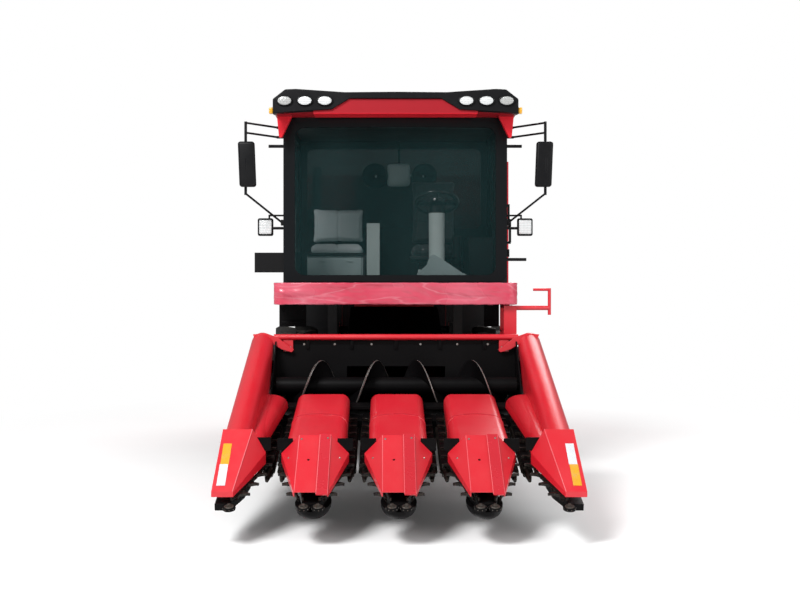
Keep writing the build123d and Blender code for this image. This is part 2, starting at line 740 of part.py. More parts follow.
SHOE_SIDE = (
    # y from the tip, z of the underside
    (34, 206),
    (84, 166),
    (180, 150),
    (310, 152),
    (450, 182),
    (570, 252),
)
SHOE_FRONT = (
    # x from the shoe's middle, z
    (SHOE_HALF, SHOE_TOP),
    (SHOE_HALF, 240),
    (SHOE_HALF * 0.8, 185),
    (SHOE_HALF * 0.4, 155),
    (0, 148),
)
nose_share = (CARRIER_DROP + CARRIER_DEPTH - NOSE_DROP[0]) / (NOSE_DROP[1] - NOSE_DROP[0])
with BuildPart() as skid_shoe:
    shoe_seat = [
        # spots on the carrier's underside, from the rear to the nose
        deck_spot(590, CARRIER_DROP + CARRIER_DEPTH),
        deck_spot(NOSE_U[0] + nose_share * (NOSE_U[1] - NOSE_U[0]), CARRIER_DROP + CARRIER_DEPTH),
        NOSE_FRONT + (NOSE_REAR - NOSE_FRONT) * 0.09,
    ]
    plate(
        [*[(TIP_Y + y, z) for y, z in SHOE_SIDE], *[(spot.Y, spot.Z) for spot in shoe_seat]],
        -SHOE_HALF,
        SHOE_HALF,
    )
    panel(
        [*SHOE_FRONT, *[(-x, z) for x, z in reversed(SHOE_FRONT[:-1])]],
        TIP_Y,
        TIP_Y + 600,
        mode=Mode.INTERSECT,
    )
with BuildPart() as skid_shoes:
    with Locations(*[(x, 0, 0) for x in DIVIDER_XS]):
        add(skid_shoe.part)
save(skid_shoes, "skid_shoes")

# Feeder house: a hollow tilted box from the auger's opening to the lift shaft

FEEDER_REAR_Y = PIVOT_Y + 60
FEEDER_RISE = (PIVOT_Z - FEEDER_FRONT_Z) / (PIVOT_Y - FEEDER_FRONT_Y)


def feeder_outline(inset):
    """Side outline of the feeder house, moved in from its top and bottom."""
    half = FEEDER_HEIGHT / 2 - inset
    rear_z = FEEDER_FRONT_Z + (FEEDER_REAR_Y - FEEDER_FRONT_Y) * FEEDER_RISE
    return (
        (FEEDER_FRONT_Y, FEEDER_FRONT_Z - half),
        (FEEDER_REAR_Y, rear_z - half),
        (FEEDER_REAR_Y, rear_z + half),
        (FEEDER_FRONT_Y, FEEDER_FRONT_Z + half),
    )


with BuildPart() as feeder_house:
    plate(feeder_outline(0), -FEEDER_HALF, FEEDER_HALF)
    plate(feeder_outline(SHEET), -FEEDER_HALF + SHEET, FEEDER_HALF - SHEET, mode=Mode.SUBTRACT)
    rod((FEEDER_HALF - SHEET, PIVOT_Y, PIVOT_Z), (RAIL_X + 60, PIVOT_Y, PIVOT_Z), PIVOT_R)
    plate(
        (
            (FEEDER_FRONT_Y + 40, 640),
            (LIFT_B[0] - 60, LIFT_B[1] - 45),
            (LIFT_B[0] + 60, LIFT_B[1] - 45),
            (LIFT_B[0] + 420, 800),
            (LIFT_B[0] + 420, 880),
            (FEEDER_FRONT_Y + 40, 780),
        ),
        FEEDER_HALF - SHEET,
        FEEDER_HALF + 12,
    )
    rod((FEEDER_HALF + 10, *LIFT_B), (LIFT_X + LIFT_EYE_WIDTH / 2 + 16, *LIFT_B), PIN_R)
    for z_low, z_high in ((560, 640), (1000, 1160)):
        block((FEED_HALF, BACK_SHEET_Y + 70, z_low), (FEEDER_HALF + 40, FEEDER_FRONT_Y + 30, z_high))
    mirror(about=Plane.YZ)
save(feeder_house, "feeder_house")

# Frame rails, cross members and brackets

CROSS_YS = (420, 1750, *BEARER_YS)
BIN_CYL_YS = (BEARER_YS[0] + BIN_CYL_SHIFT, BEARER_YS[1] - BIN_CYL_SHIFT)
EAR_THICK = 12
EAR_SPANS = ((-BIN_EAR - EAR_THICK, -BIN_EAR), (BIN_EAR, BIN_EAR + EAR_THICK))
with BuildPart() as chassis_frame:
    block(
        (RAIL_X - RAIL_WIDTH / 2, RAIL_YS[0], RAIL_Z[0]),
        (RAIL_X + RAIL_WIDTH / 2, RAIL_YS[1], RAIL_Z[1]),
    )
    for y in (CAB_FRONT_Y + 180, CAB_REAR_Y - 70):
        block((RAIL_X - 40, y - 40, RAIL_Z[1]), (RAIL_X + 40, y + 40, FLOOR_Z - FLOOR_THICK - SILL))
    plate(
        (
            (PIVOT_Y - 90, RAIL_Z[1]),
            (PIVOT_Y + 90, RAIL_Z[1]),
            (PIVOT_Y + 60, PIVOT_Z + 70),
            (PIVOT_Y - 60, PIVOT_Z + 70),
        ),
        RAIL_X - 20,
        RAIL_X + 20,
    )
    rod(
        (RAIL_X - 30, PIVOT_Y, PIVOT_Z),
        (RAIL_X + 30, PIVOT_Y, PIVOT_Z),
        PIVOT_R + RUNNING_GAP,
        mode=Mode.SUBTRACT,
    )
    for y in BEARER_YS:
        block((RAIL_X - 40, y - 40, RAIL_Z[1]), (RAIL_X + 40, y + 40, BEARER_Z[0]))
    for y in CROSS_YS:
        block((0, y - 50, RAIL_Z[0]), (RAIL_X, y + 50, RAIL_Z[0] + CROSS_HEIGHT))
    block((0, RAIL_YS[1] - 60, RAIL_Z[0]), (RAIL_X, RAIL_YS[1], RAIL_Z[1]))
    mirror(about=Plane.YZ)
    for y in BEARER_YS:
        block((-1000, y - 40, BEARER_Z[0]), (BIN_PIVOT_X + 40, y + 40, BEARER_Z[1]))
        for dy in (-36, 36):
            block(
                (BIN_PIVOT_X - 40, y + dy - 6, BEARER_Z[1]),
                (BIN_PIVOT_X + 40, y + dy + 6, BIN_PIVOT_Z + 40),
            )
        rod(
            (BIN_PIVOT_X, y - 60, BIN_PIVOT_Z),
            (BIN_PIVOT_X, y + 60, BIN_PIVOT_Z),
            PIN_R + RUNNING_GAP,
            mode=Mode.SUBTRACT,
        )
    for y in BIN_CYL_YS:
        for low, high in EAR_SPANS:
            block(
                (BIN_CYL_A[0] - 50, y + low, BIN_CYL_A[1] - 50),
                (RAIL_X, y + high, RAIL_Z[0] + 10),
            )
        rod(
            (BIN_CYL_A[0], y + EAR_SPANS[0][0], BIN_CYL_A[1]),
            (BIN_CYL_A[0], y + EAR_SPANS[1][1], BIN_CYL_A[1]),
            PIN_R,
        )
    block((-60, RAIL_YS[1], TOW_Z[0]), (60, REAR_Y, TOW_Z[0] + 25))
    block((-60, RAIL_YS[1], TOW_Z[1] - 25), (60, REAR_Y, TOW_Z[1]))
    rod((0, REAR_Y - 50, TOW_Z[0]), (0, REAR_Y - 50, TOW_Z[1]), TOW_PIN_R, mode=Mode.SUBTRACT)
save(chassis_frame, "chassis_frame")

# Front drive axle

with BuildPart() as front_axle:
    block((0, FRONT_AXLE_Y - 160, FRONT_TYRE_R - 150), (220, FRONT_AXLE_Y + 160, FRONT_TYRE_R + 140))
    block((220, FRONT_AXLE_Y - 80, FRONT_TYRE_R - 90), (640, FRONT_AXLE_Y + 80, FRONT_TYRE_R + 90))
    rod((620, FRONT_AXLE_Y, FRONT_TYRE_R), (700, FRONT_AXLE_Y, FRONT_TYRE_R), 170)
    rod(
        (700, FRONT_AXLE_Y, FRONT_TYRE_R),
        (FRONT_WHEEL_X + FRONT_DISC_X + HUB_HALF - HUB_CAP - MOVING_GAP, FRONT_AXLE_Y, FRONT_TYRE_R),
        FRONT_SPINDLE_R,
    )
    block((RAIL_X - 50, FRONT_AXLE_Y - 110, 700), (RAIL_X + 50, FRONT_AXLE_Y + 110, RAIL_Z[0]))
    for x in (LIFT_X - 42, LIFT_X + 30):
        block((x, LIFT_A[0] - 40, LIFT_A[1] - 40), (x + 12, FRONT_AXLE_Y, LIFT_A[1] + 80))
    rod((LIFT_X - 42, *LIFT_A), (LIFT_X + 42, *LIFT_A), PIN_R)
    mirror(about=Plane.YZ)
save(front_axle, "front_axle")

# Wheels: many-sided tyres with V-set lugs, and dished steel rims

TREAD_SHARE = 0.84
WALL_SHARE = 0.97
BEAD_SHARE = 0.7


def ring_face(x, radius):
    """A many-sided face round local X, flat at the bottom."""
    with BuildSketch(sideways(x), mode=Mode.PRIVATE) as face:
        RegularPolygon(radius, WHEEL_SIDES, major_radius=False, rotation=180 / WHEEL_SIDES)
    return face.sketch


def frustum(start, end, mode=Mode.ADD):
    """A many-sided taper round local X between two (x, radius) pairs."""
    (start_x, start_r), (end_x, end_r) = start, end
    slope = degrees(atan2(start_r - end_r, abs(end_x - start_x)))
    extrude(ring_face(start_x, start_r), amount=end_x - start_x, taper=slope, mode=mode)


def tyre(radius, width, rim_radius, lugs, lug_thick):
    """A farm tyre round local X."""
    half = width / 2
    body = radius - LUG_HEIGHT * radius / FRONT_TYRE_R
    bulge = rim_radius + 0.55 * (body - rim_radius)
    with BuildPart() as ring:
        extrude(ring_face(-TREAD_SHARE * half, body), amount=2 * TREAD_SHARE * half)
        for side in (-1, 1):
            wall = (side * WALL_SHARE * half, bulge)
            frustum((side * TREAD_SHARE * half, body), wall)
            frustum(wall, (side * BEAD_SHARE * half, rim_radius), Mode.SUBTRACT)
        extrude(ring_face(-half, rim_radius), amount=width, mode=Mode.SUBTRACT)
        for k in range(lugs):
            side = 1 if k % 2 else -1
            turn = Location((0, 0, 0), (360 * (k + 0.5) / lugs, 0, 0))
            lug = Location((side * half * 0.47, 0, body - 24), (0, 0, side * LUG_ANGLE))
            with Locations(turn * lug):
                Box(half * 1.14, lug_thick, radius, align=(Align.CENTER, Align.CENTER, Align.MIN))
        extrude(ring_face(-half, radius), amount=width, mode=Mode.INTERSECT)
    return ring.part


def wheel(width, rim_radius, hub_radius, spindle_radius, disc_x):
    """A dished steel wheel round local X, with a capped hub."""
    bead = BEAD_SHARE * width / 2
    with BuildPart() as rim:
        extrude(ring_face(-bead, rim_radius), amount=2 * bead)
        for face_x, lip_x in ((disc_x + 14, bead), (disc_x, -bead)):
            frustum((face_x, rim_radius - 46), (lip_x, rim_radius - 14), Mode.SUBTRACT)
        rod((disc_x - HUB_HALF, 0, 0), (disc_x + HUB_HALF, 0, 0), hub_radius)
        rod(
            (disc_x - HUB_HALF, 0, 0),
            (disc_x + HUB_HALF - HUB_CAP, 0, 0),
            spindle_radius + RUNNING_GAP,
            mode=Mode.SUBTRACT,
        )
    return rim.part


front_tyre = tyre(FRONT_TYRE_R, FRONT_TYRE_W, FRONT_RIM_R, 24, 46)
front_rim = wheel(FRONT_TYRE_W, FRONT_RIM_R, FRONT_HUB_R, FRONT_SPINDLE_R, FRONT_DISC_X)
rear_tyre = tyre(REAR_TYRE_R, REAR_TYRE_W, REAR_RIM_R, 20, 30)
rear_rim = wheel(REAR_TYRE_W, REAR_RIM_R, REAR_HUB_R, REAR_SPINDLE_R, REAR_DISC_X)
for name, side, turn in (("left", 1, 0), ("right", -1, 180)):
    spots = {
        "front": Location((side * FRONT_WHEEL_X, FRONT_AXLE_Y, FRONT_TYRE_R), (0, 0, turn)),
        "rear": Location((side * REAR_WHEEL_X, REAR_AXLE_Y, REAR_TYRE_R), (0, 0, turn)),
    }
    for end, rubber, steel in (("front", front_tyre, front_rim), ("rear", rear_tyre, rear_rim)):
        with BuildPart() as placed_tyre:
            with Locations(spots[end]):
                add(rubber)
        save(placed_tyre, f"{end}_tyre_{name}")
        with BuildPart() as placed_rim:
            with Locations(spots[end]):
                add(steel)
        save(placed_rim, f"{end}_rim_{name}")

# Rear steering axle, its knuckles and the tie rod

with BuildPart() as rear_axle:
    block(
        (0, REAR_AXLE_Y - 50, REAR_TYRE_R - 60),
        (KINGPIN_X - 40, REAR_AXLE_Y + 50, REAR_TYRE_R + 60),
    )
    block((0, REAR_AXLE_Y - 90, REAR_TYRE_R + 60), (90, REAR_AXLE_Y + 90, RAIL_Z[0] - 60))
    block((0, REAR_AXLE_Y - 90, RAIL_Z[0] - 60), (RAIL_X, REAR_AXLE_Y + 90, RAIL_Z[0]))
    for radius, mode in ((BOSS_R, Mode.ADD), (KINGPIN_R + RUNNING_GAP, Mode.SUBTRACT)):
        rod(
            (KINGPIN_X, REAR_AXLE_Y, REAR_TYRE_R - BOSS_HALF),
            (KINGPIN_X, REAR_AXLE_Y, REAR_TYRE_R + BOSS_HALF),
            radius,
            mode=mode,
        )
    mirror(about=Plane.YZ)
save(rear_axle, "rear_axle")

ARM_Y = REAR_AXLE_Y + STEER_ARM
FORK_REACH = BOSS_HALF + MOVING_GAP
FORK_OUT = 100
with BuildPart() as knuckle:
    rod(
        (KINGPIN_X, REAR_AXLE_Y, REAR_TYRE_R - FORK_OUT),
        (KINGPIN_X, REAR_AXLE_Y, REAR_TYRE_R + FORK_OUT),
        KINGPIN_R,
    )
    for low, high in ((-FORK_OUT, -FORK_REACH), (FORK_REACH, FORK_OUT)):
        block(
            (KINGPIN_X - 45, REAR_AXLE_Y - 45, REAR_TYRE_R + low),
            (KINGPIN_X + 105, REAR_AXLE_Y + 45, REAR_TYRE_R + high),
        )
    block(
        (KINGPIN_X + 66, REAR_AXLE_Y - 45, REAR_TYRE_R - FORK_OUT),
        (KINGPIN_X + 105, REAR_AXLE_Y + 45, REAR_TYRE_R + FORK_OUT),
    )
    rod(
        (KINGPIN_X + 100, REAR_AXLE_Y, REAR_TYRE_R),
        (REAR_WHEEL_X + REAR_DISC_X + HUB_HALF - HUB_CAP - MOVING_GAP, REAR_AXLE_Y, REAR_TYRE_R),
        REAR_SPINDLE_R,
    )
    block(
        (KINGPIN_X - 35, REAR_AXLE_Y + 40, REAR_TYRE_R - FORK_OUT),
        (KINGPIN_X + 35, ARM_Y + 35, REAR_TYRE_R - FORK_REACH),
    )
    rod((KINGPIN_X, ARM_Y, REAR_TYRE_R - FORK_OUT + 10), (KINGPIN_X, ARM_Y, REAR_TYRE_R - 20), STEER_PIN_R)
save(knuckle, "knuckle_left")
with BuildPart() as knuckle_right:
    add(knuckle.part)
    mirror(about=Plane.YZ, mode=Mode.REPLACE)
save(knuckle_right, "knuckle_right")

TIE_ROD_Z = REAR_TYRE_R - TIE_ROD_DROP
with BuildPart() as tie_rod:
    rod((-KINGPIN_X, ARM_Y, TIE_ROD_Z), (KINGPIN_X, ARM_Y, TIE_ROD_Z), 17)
    for x in (-KINGPIN_X, KINGPIN_X):
        for radius, mode in ((30, Mode.ADD), (STEER_PIN_R + RUNNING_GAP, Mode.SUBTRACT)):
            rod((x, ARM_Y, TIE_ROD_Z - 21), (x, ARM_Y, TIE_ROD_Z + 21), radius, mode=mode)
save(tie_rod, "tie_rod")

# Lift cylinders of the header and tipping cylinders of the bin


def barrel(base, eye, length, radius, rod_radius, across, width):
    """A cylinder barrel from its base pin towards the rod's eye."""
    start = Vector(*base)
    unit = (Vector(*eye) - start).normalized()
    half = Vector(*across) * width / 2
    with BuildPart() as body:
        rod(start - half, start + half, PIN_R + 22)
        rod(start + unit * 20, start + unit * 70, NECK_R)
        rod(start + unit * 62, start + unit * length, radius)
        rod(start - half, start + half, PIN_R + RUNNING_GAP, mode=Mode.SUBTRACT)
        rod(start + unit * 110, start + unit * length, rod_radius + RUNNING_GAP, mode=Mode.SUBTRACT)
    return body.part


def piston_rod(base, eye, start, rod_radius, eye_radius, across, width):
    """The sliding rod of a cylinder with its eye."""
    end = Vector(*eye)
    unit = (end - Vector(*base)).normalized()
    half = Vector(*across) * width / 2
    with BuildPart() as body:
        rod(Vector(*base) + unit * start, end - unit * (eye_radius + 8), rod_radius)
        rod(end - half, end + half, eye_radius + 20)
        rod(end - half, end + half, eye_radius, mode=Mode.SUBTRACT)
    return body.part


with BuildPart() as lift_barrels:
    for x in (-LIFT_X, LIFT_X):
        add(
            barrel(
                (x, *LIFT_A), (x, *LIFT_B), 640, LIFT_BARREL_R, LIFT_ROD_R, (1, 0, 0), LIFT_EYE_WIDTH
            )
        )
save(lift_barrels, "lift_barrels")
with BuildPart() as lift_rods:
    for x in (-LIFT_X, LIFT_X):
        add(
            piston_rod(
                (x, *LIFT_A),
                (x, *LIFT_B),
                270,
                LIFT_ROD_R,
                PIN_R + LIFT_EYE_GAP,
                (1, 0, 0),
                LIFT_EYE_WIDTH,
            )
        )
save(lift_rods, "lift_rods")
with BuildPart() as bin_barrels:
    for y in BIN_CYL_YS:
        base = (BIN_CYL_A[0], y, BIN_CYL_A[1])
        eye = (BIN_CYL_B[0], y, BIN_CYL_B[1])
        add(barrel(base, eye, 880, BIN_BARREL_R, BIN_ROD_R, (0, 1, 0), BIN_EYE_WIDTH))
save(bin_barrels, "bin_barrels")
with BuildPart() as bin_rods:
    for y in BIN_CYL_YS:
        base = (BIN_CYL_A[0], y, BIN_CYL_A[1])
        eye = (BIN_CYL_B[0], y, BIN_CYL_B[1])
        add(piston_rod(base, eye, 130, BIN_ROD_R, BIN_TOP_PIN_R + BIN_EYE_GAP, (0, 1, 0), BIN_EYE_WIDTH))
save(bin_rods, "bin_rods")

# Ear bin with sloping lower walls, ribs and hinge lugs

BIN_SIDE_X = (-BIN_HALF, BIN_HALF + 60)
with BuildPart() as ear_bin:
    panel(
        (
            (BIN_SIDE_X[0], BIN_FLOOR_Z + 300),
            (BIN_SIDE_X[0] + 180, BIN_FLOOR_Z),
            (BIN_SIDE_X[1] - 180, BIN_FLOOR_Z),
            (BIN_SIDE_X[1], BIN_FLOOR_Z + 120),
            (BIN_SIDE_X[1], BIN_TOP_Z),
            (BIN_SIDE_X[0], BIN_TOP_Z),
        ),
        *BIN_YS,
    )
    for y in BIN_YS:
        out = -BIN_RIB if y == BIN_YS[0] else BIN_RIB
        ys = sorted((y, y + out))
        for x in (-1000, -500, 30, 560, 1060):
            block((x - 30, ys[0], BIN_FLOOR_Z + 300), (x + 30, ys[1], BIN_TOP_Z))
    for x in BIN_SIDE_X:
        out = -BIN_RIB if x < 0 else BIN_RIB
        xs = sorted((x, x + out))
        for y in (2420, 2840, 3280, 3700):
            block((xs[0], y - 30, BIN_FLOOR_Z + 300), (xs[1], y + 30, BIN_TOP_Z))
    block(
        (BIN_SIDE_X[0] - BIN_RIB, BIN_YS[0] - BIN_RIB, BIN_TOP_Z - 40),
        (BIN_SIDE_X[1] + BIN_RIB, BIN_YS[1] + BIN_RIB, BIN_TOP_Z),
    )
    panel(
        (
            (BIN_SIDE_X[0] + BIN_WALL, BIN_FLOOR_Z + 312),
            (BIN_SIDE_X[0] + 194, BIN_FLOOR_Z + BIN_WALL),
            (BIN_SIDE_X[1] - 192, BIN_FLOOR_Z + BIN_WALL),
            (BIN_SIDE_X[1] - BIN_WALL, BIN_FLOOR_Z + 134),
            (BIN_SIDE_X[1] - BIN_WALL, BIN_TOP_Z),
            (BIN_SIDE_X[0] + BIN_WALL, BIN_TOP_Z),
        ),
        BIN_YS[0] + BIN_WALL,
        BIN_YS[1] - BIN_WALL,
        mode=Mode.SUBTRACT,
    )
    for y in BEARER_YS:
        block(
            (BIN_PIVOT_X - 35, y - 24, BIN_PIVOT_Z - 35),
            (BIN_PIVOT_X + 35, y + 24, BIN_FLOOR_Z + 70),
        )
        rod((BIN_PIVOT_X, y - 44, BIN_PIVOT_Z), (BIN_PIVOT_X, y + 44, BIN_PIVOT_Z), PIN_R)
    for y in BIN_CYL_YS:
        for low, high in EAR_SPANS:
            block(
                (BIN_CYL_B[0] - 40, y + low, BIN_CYL_B[1] - 40),
                (BIN_CYL_B[0] + 40, y + high, BIN_FLOOR_Z + 2),
            )
        rod(
            (BIN_CYL_B[0], y + EAR_SPANS[0][0], BIN_CYL_B[1]),
            (BIN_CYL_B[0], y + EAR_SPANS[1][1], BIN_CYL_B[1]),
            BIN_TOP_PIN_R,
        )
save(ear_bin, "ear_bin")

# Elevator tower, husker housing, engine and its cover, exhaust, tank

with BuildPart() as elevator:
    plate(
        (
            (340, RAIL_Z[0] + CROSS_HEIGHT),
            (860, RAIL_Z[0] + CROSS_HEIGHT),
            (900, 1500),
            (1230, HUSKER_TOP),
            (1900, HUSKER_TOP),
            (1900, 2760),
            (1000, 2860),
            (560, 1500),
            (340, 1440),
        ),
        -ELEVATOR_HALF,
        ELEVATOR_HALF,
    )
    block(
        (-ELEVATOR_HALF + 20, FEEDER_REAR_Y + MOVING_GAP, PIVOT_Z - 50),
        (ELEVATOR_HALF - 20, 840, PIVOT_Z + 170),
        mode=Mode.SUBTRACT,
    )
    for side in (-1, 1):
        xs = sorted((side * ELEVATOR_HALF, side * (ELEVATOR_HALF + 18)))
        plate(((700, 1600), (860, 1600), (1120, 2400), (960, 2400)), *xs)
        plate(((1060, 2480), (1840, 2480), (1840, 2720), (1060, 2800)), *xs)
save(elevator, "elevator")

PANEL_PROUD = 16
with BuildPart() as husker_housing:
    plate(
        (
            (HUSKER_YS[0], ENGINE_TOP),
            (HUSKER_YS[1], ENGINE_TOP),
            (HUSKER_YS[1], HUSKER_TOP - 150),
            (HUSKER_YS[1] - 130, HUSKER_TOP),
            (HUSKER_YS[0], HUSKER_TOP),
        ),
        -HUSKER_HALF,
        HUSKER_HALF,
    )
    for side in (-1, 1):
        xs = sorted((side * HUSKER_HALF, side * (HUSKER_HALF + PANEL_PROUD)))
        for y_low, y_high in ((HUSKER_YS[0] + 60, 1760), (1800, HUSKER_YS[1] - 60)):
            block((xs[0], y_low, ENGINE_TOP + 60), (xs[1], y_high, HUSKER_TOP - 180))
save(husker_housing, "husker_housing")

with BuildPart() as engine_block:
    block((-RAIL_X - 30, 1080, RAIL_Z[1]), (RAIL_X + 30, 1920, ENGINE_TOP - 60))
save(engine_block, "engine_block")

LOUVRE_PITCH = 72
with BuildPart() as engine_cover:
    block((-ENGINE_HALF, ENGINE_YS[0], RAIL_Z[1]), (ENGINE_HALF, ENGINE_YS[1], ENGINE_TOP))
    block(
        (-ENGINE_HALF + 30, ENGINE_YS[0] + 30, RAIL_Z[1]),
        (ENGINE_HALF - 30, ENGINE_YS[1] - 30, ENGINE_TOP - 30),
        mode=Mode.SUBTRACT,
    )
    for y_low, y_high in ((1110, 1610), (1700, 2200)):
        for k in range(6):
            z = RAIL_Z[1] + 120 + k * LOUVRE_PITCH
            block(
                (-ENGINE_HALF, y_low, z),
                (ENGINE_HALF, y_high, z + LOUVRE_PITCH / 2),
                mode=Mode.SUBTRACT,
            )
save(engine_cover, "engine_cover")

with BuildPart() as exhaust_pipe:
    rod((-820, 1090, ENGINE_TOP), (-820, 1090, 2950), 45)
    rod((-820, 1090, 1900), (-820, 1090, 2500), 110)
save(exhaust_pipe, "exhaust_pipe")

with BuildPart() as fuel_tank:
    block((RAIL_X + RAIL_WIDTH / 2, 900, 800), (1040, 1800, RAIL_Z[1]))
    chamfer(fuel_tank.edges().filter_by(Axis.Y), 50)
    for y in (1080, 1620):
        block((RAIL_X + RAIL_WIDTH / 2, y - 25, 790), (1050, y + 25, RAIL_Z[1]))
save(fuel_tank, "fuel_tank")

# Straw chopper across the machine

HOOD_SIDE = (
    # y from the rotor's middle, z
    (-420, 480),
    (-280, 740),
    (280, 740),
    (480, 300),
)
with BuildPart() as chopper_housing:
    plate(
        (
            *[(CHOPPER_Y + y, z) for y, z in HOOD_SIDE],
            (CHOPPER_Y + 472, 292),
            (CHOPPER_Y + 274, 732),
            (CHOPPER_Y - 274, 732),
            (CHOPPER_Y - 412, 476),
        ),
        -CHOPPER_HALF,
        CHOPPER_HALF,
    )
    for side in (-1, 1):
        xs = sorted((side * CHOPPER_HALF, side * (CHOPPER_HALF + END_PLATE)))
        plate(
            (
                (CHOPPER_Y - 420, 330),
                *[(CHOPPER_Y + y, z) for y, z in HOOD_SIDE],
                (CHOPPER_Y + 420, 260),
                (CHOPPER_Y - 340, 260),
            ),
            *xs,
        )
        rod(
            (xs[0], CHOPPER_Y, CHOPPER_Z),
            (xs[1], CHOPPER_Y, CHOPPER_Z),
            CHOPPER_SHAFT_R + RUNNING_GAP,
            mode=Mode.SUBTRACT,
        )
        block((side * RAIL_X - 30, CHOPPER_Y - 100, 738), (side * RAIL_X + 30, CHOPPER_Y + 100, RAIL_Z[0]))
save(chopper_housing, "chopper_housing")

BLADES = 12
with BuildPart() as chopper_rotor:
    rod((-CHOPPER_HALF - 10, CHOPPER_Y, CHOPPER_Z), (CHOPPER_HALF + 10, CHOPPER_Y, CHOPPER_Z), CHOPPER_SHAFT_R)
    rod((-CHOPPER_HALF + 20, CHOPPER_Y, CHOPPER_Z), (CHOPPER_HALF - 20, CHOPPER_Y, CHOPPER_Z), 70)
    for k in range(BLADES):
        x = -CHOPPER_HALF + 110 + k * (2 * CHOPPER_HALF - 220) / (BLADES - 1)
        with Locations(Location((x, CHOPPER_Y, CHOPPER_Z), (k * 60, 0, 0))):
            Box(50, 10, 2 * CHOPPER_R)
save(chopper_rotor, "chopper_rotor")

# Cab: floor, skirt and a hollow frame with a bowed front

with BuildPart() as cab_floor:
    block(
        (-CAB_HALF, CAB_FRONT_Y - 200, FLOOR_Z - FLOOR_THICK),
        (CAB_HALF, CAB_REAR_Y + 50, FLOOR_Z),
    )
    for x in (-RAIL_X, RAIL_X):
        block(
            (x - 40, CAB_FRONT_Y - 200, FLOOR_Z - FLOOR_THICK - SILL),
            (x + 40, CAB_REAR_Y, FLOOR_Z - FLOOR_THICK),
        )
save(cab_floor, "cab_floor")

with BuildPart() as front_skirt:
    block((-SKIRT_HALF, SKIRT_Y, SKIRT_Z[0]), (SKIRT_HALF, SKIRT_Y + 420, SKIRT_Z[1]))
    fillet(front_skirt.edges().filter_by(Axis.Z).sort_by(Axis.Y)[:2], 90)
    block(
        (-CAB_HALF, SKIRT_Y + 60, SKIRT_Z[0]),
        (CAB_HALF, SKIRT_Y + 420, FLOOR_Z),
        mode=Mode.SUBTRACT,
    )
    block(
        (-SKIRT_HALF, CAB_FRONT_Y - CAB_BOW - GLASS - 2, FLOOR_Z),
        (SKIRT_HALF, SKIRT_Y + 420, SKIRT_Z[1]),
        mode=Mode.SUBTRACT,
    )
save(front_skirt, "front_skirt")


def cab_outline(inset, front_inset):
    """Floor plan of the cab, with its front bowed forward."""
    half = CAB_HALF - inset
    front_y = CAB_FRONT_Y + front_inset
    with BuildSketch(Plane.XY.offset(FLOOR_Z), mode=Mode.PRIVATE) as outline:
        with BuildLine():
            ThreePointArc((-half, front_y), (0, front_y - CAB_BOW), (half, front_y))
            Polyline(
                (half, front_y),
                (half, CAB_REAR_Y - inset),
                (-half, CAB_REAR_Y - inset),
                (-half, front_y),
            )
        make_face()
    return outline.sketch


SCREEN_OPENING = ((-CAB_HALF + 105, SCREEN_Z[0] + 60), (CAB_HALF - 105, SCREEN_Z[1] - 80))
REAR_WINDOW = ((-CAB_HALF + 110, FLOOR_Z + 640), (CAB_HALF - 110, ROOF_Z - 90))
RIGHT_WINDOW = ((DOOR_FRONT_Y, FLOOR_Z + 380), (CAB_REAR_Y - 90, ROOF_Z - 80))
QUARTER_WINDOW = ((DOOR_REAR_Y + 80, FLOOR_Z + 640), (CAB_REAR_Y - 90, ROOF_Z - 80))
DOOR_OPENING = ((DOOR_FRONT_Y, FLOOR_Z + 10), (DOOR_REAR_Y, ROOF_Z - 20))
WINDOW_CORNER = 60
PANE_INSET = 4
with BuildPart() as cab_frame:
    extrude(cab_outline(0, 0), amount=ROOF_Z - FLOOR_Z)
    extrude(cab_outline(WALL, POST), amount=ROOF_Z - FLOOR_Z, mode=Mode.SUBTRACT)
    window(facing(CAB_FRONT_Y + POST), *SCREEN_OPENING, SCREEN_CORNER, 2 * POST + CAB_BOW, Mode.SUBTRACT)
    window(facing(CAB_REAR_Y), *REAR_WINDOW, WINDOW_CORNER, WALL, Mode.SUBTRACT)
    window(sideways(-CAB_HALF), *RIGHT_WINDOW, WINDOW_CORNER, WALL, Mode.SUBTRACT)
    window(sideways(CAB_HALF), *QUARTER_WINDOW, WINDOW_CORNER, -WALL, Mode.SUBTRACT)
    window(sideways(CAB_HALF), *DOOR_OPENING, 20, -WALL, Mode.SUBTRACT)
    for z in HINGE_ZS:
        for low, high in ((-HINGE_HALF - 12, -HINGE_HALF - 2), (HINGE_HALF + 2, HINGE_HALF + 12)):
            block(
                (CAB_HALF - 1, DOOR_REAR_Y - HINGE_R, z + low),
                (HINGE_X + HINGE_R, DOOR_REAR_Y + 40, z + high),
            )
        rod(
            (HINGE_X, DOOR_REAR_Y, z - HINGE_HALF - 12),
            (HINGE_X, DOOR_REAR_Y, z + HINGE_HALF + 12),
            HINGE_PIN_R,
        )
    block((-1240, CAB_FRONT_Y + 20, 1790), (-CAB_HALF, CAB_FRONT_Y + 50, 1965))
    for z in (1740, 2300, 2860):
        rod((CAB_HALF - 10, 150, z), (1110, 150, z), 13)
    rod((1110, 150, 1700), (1110, 150, 2900), 15)
save(cab_frame, "cab_frame")

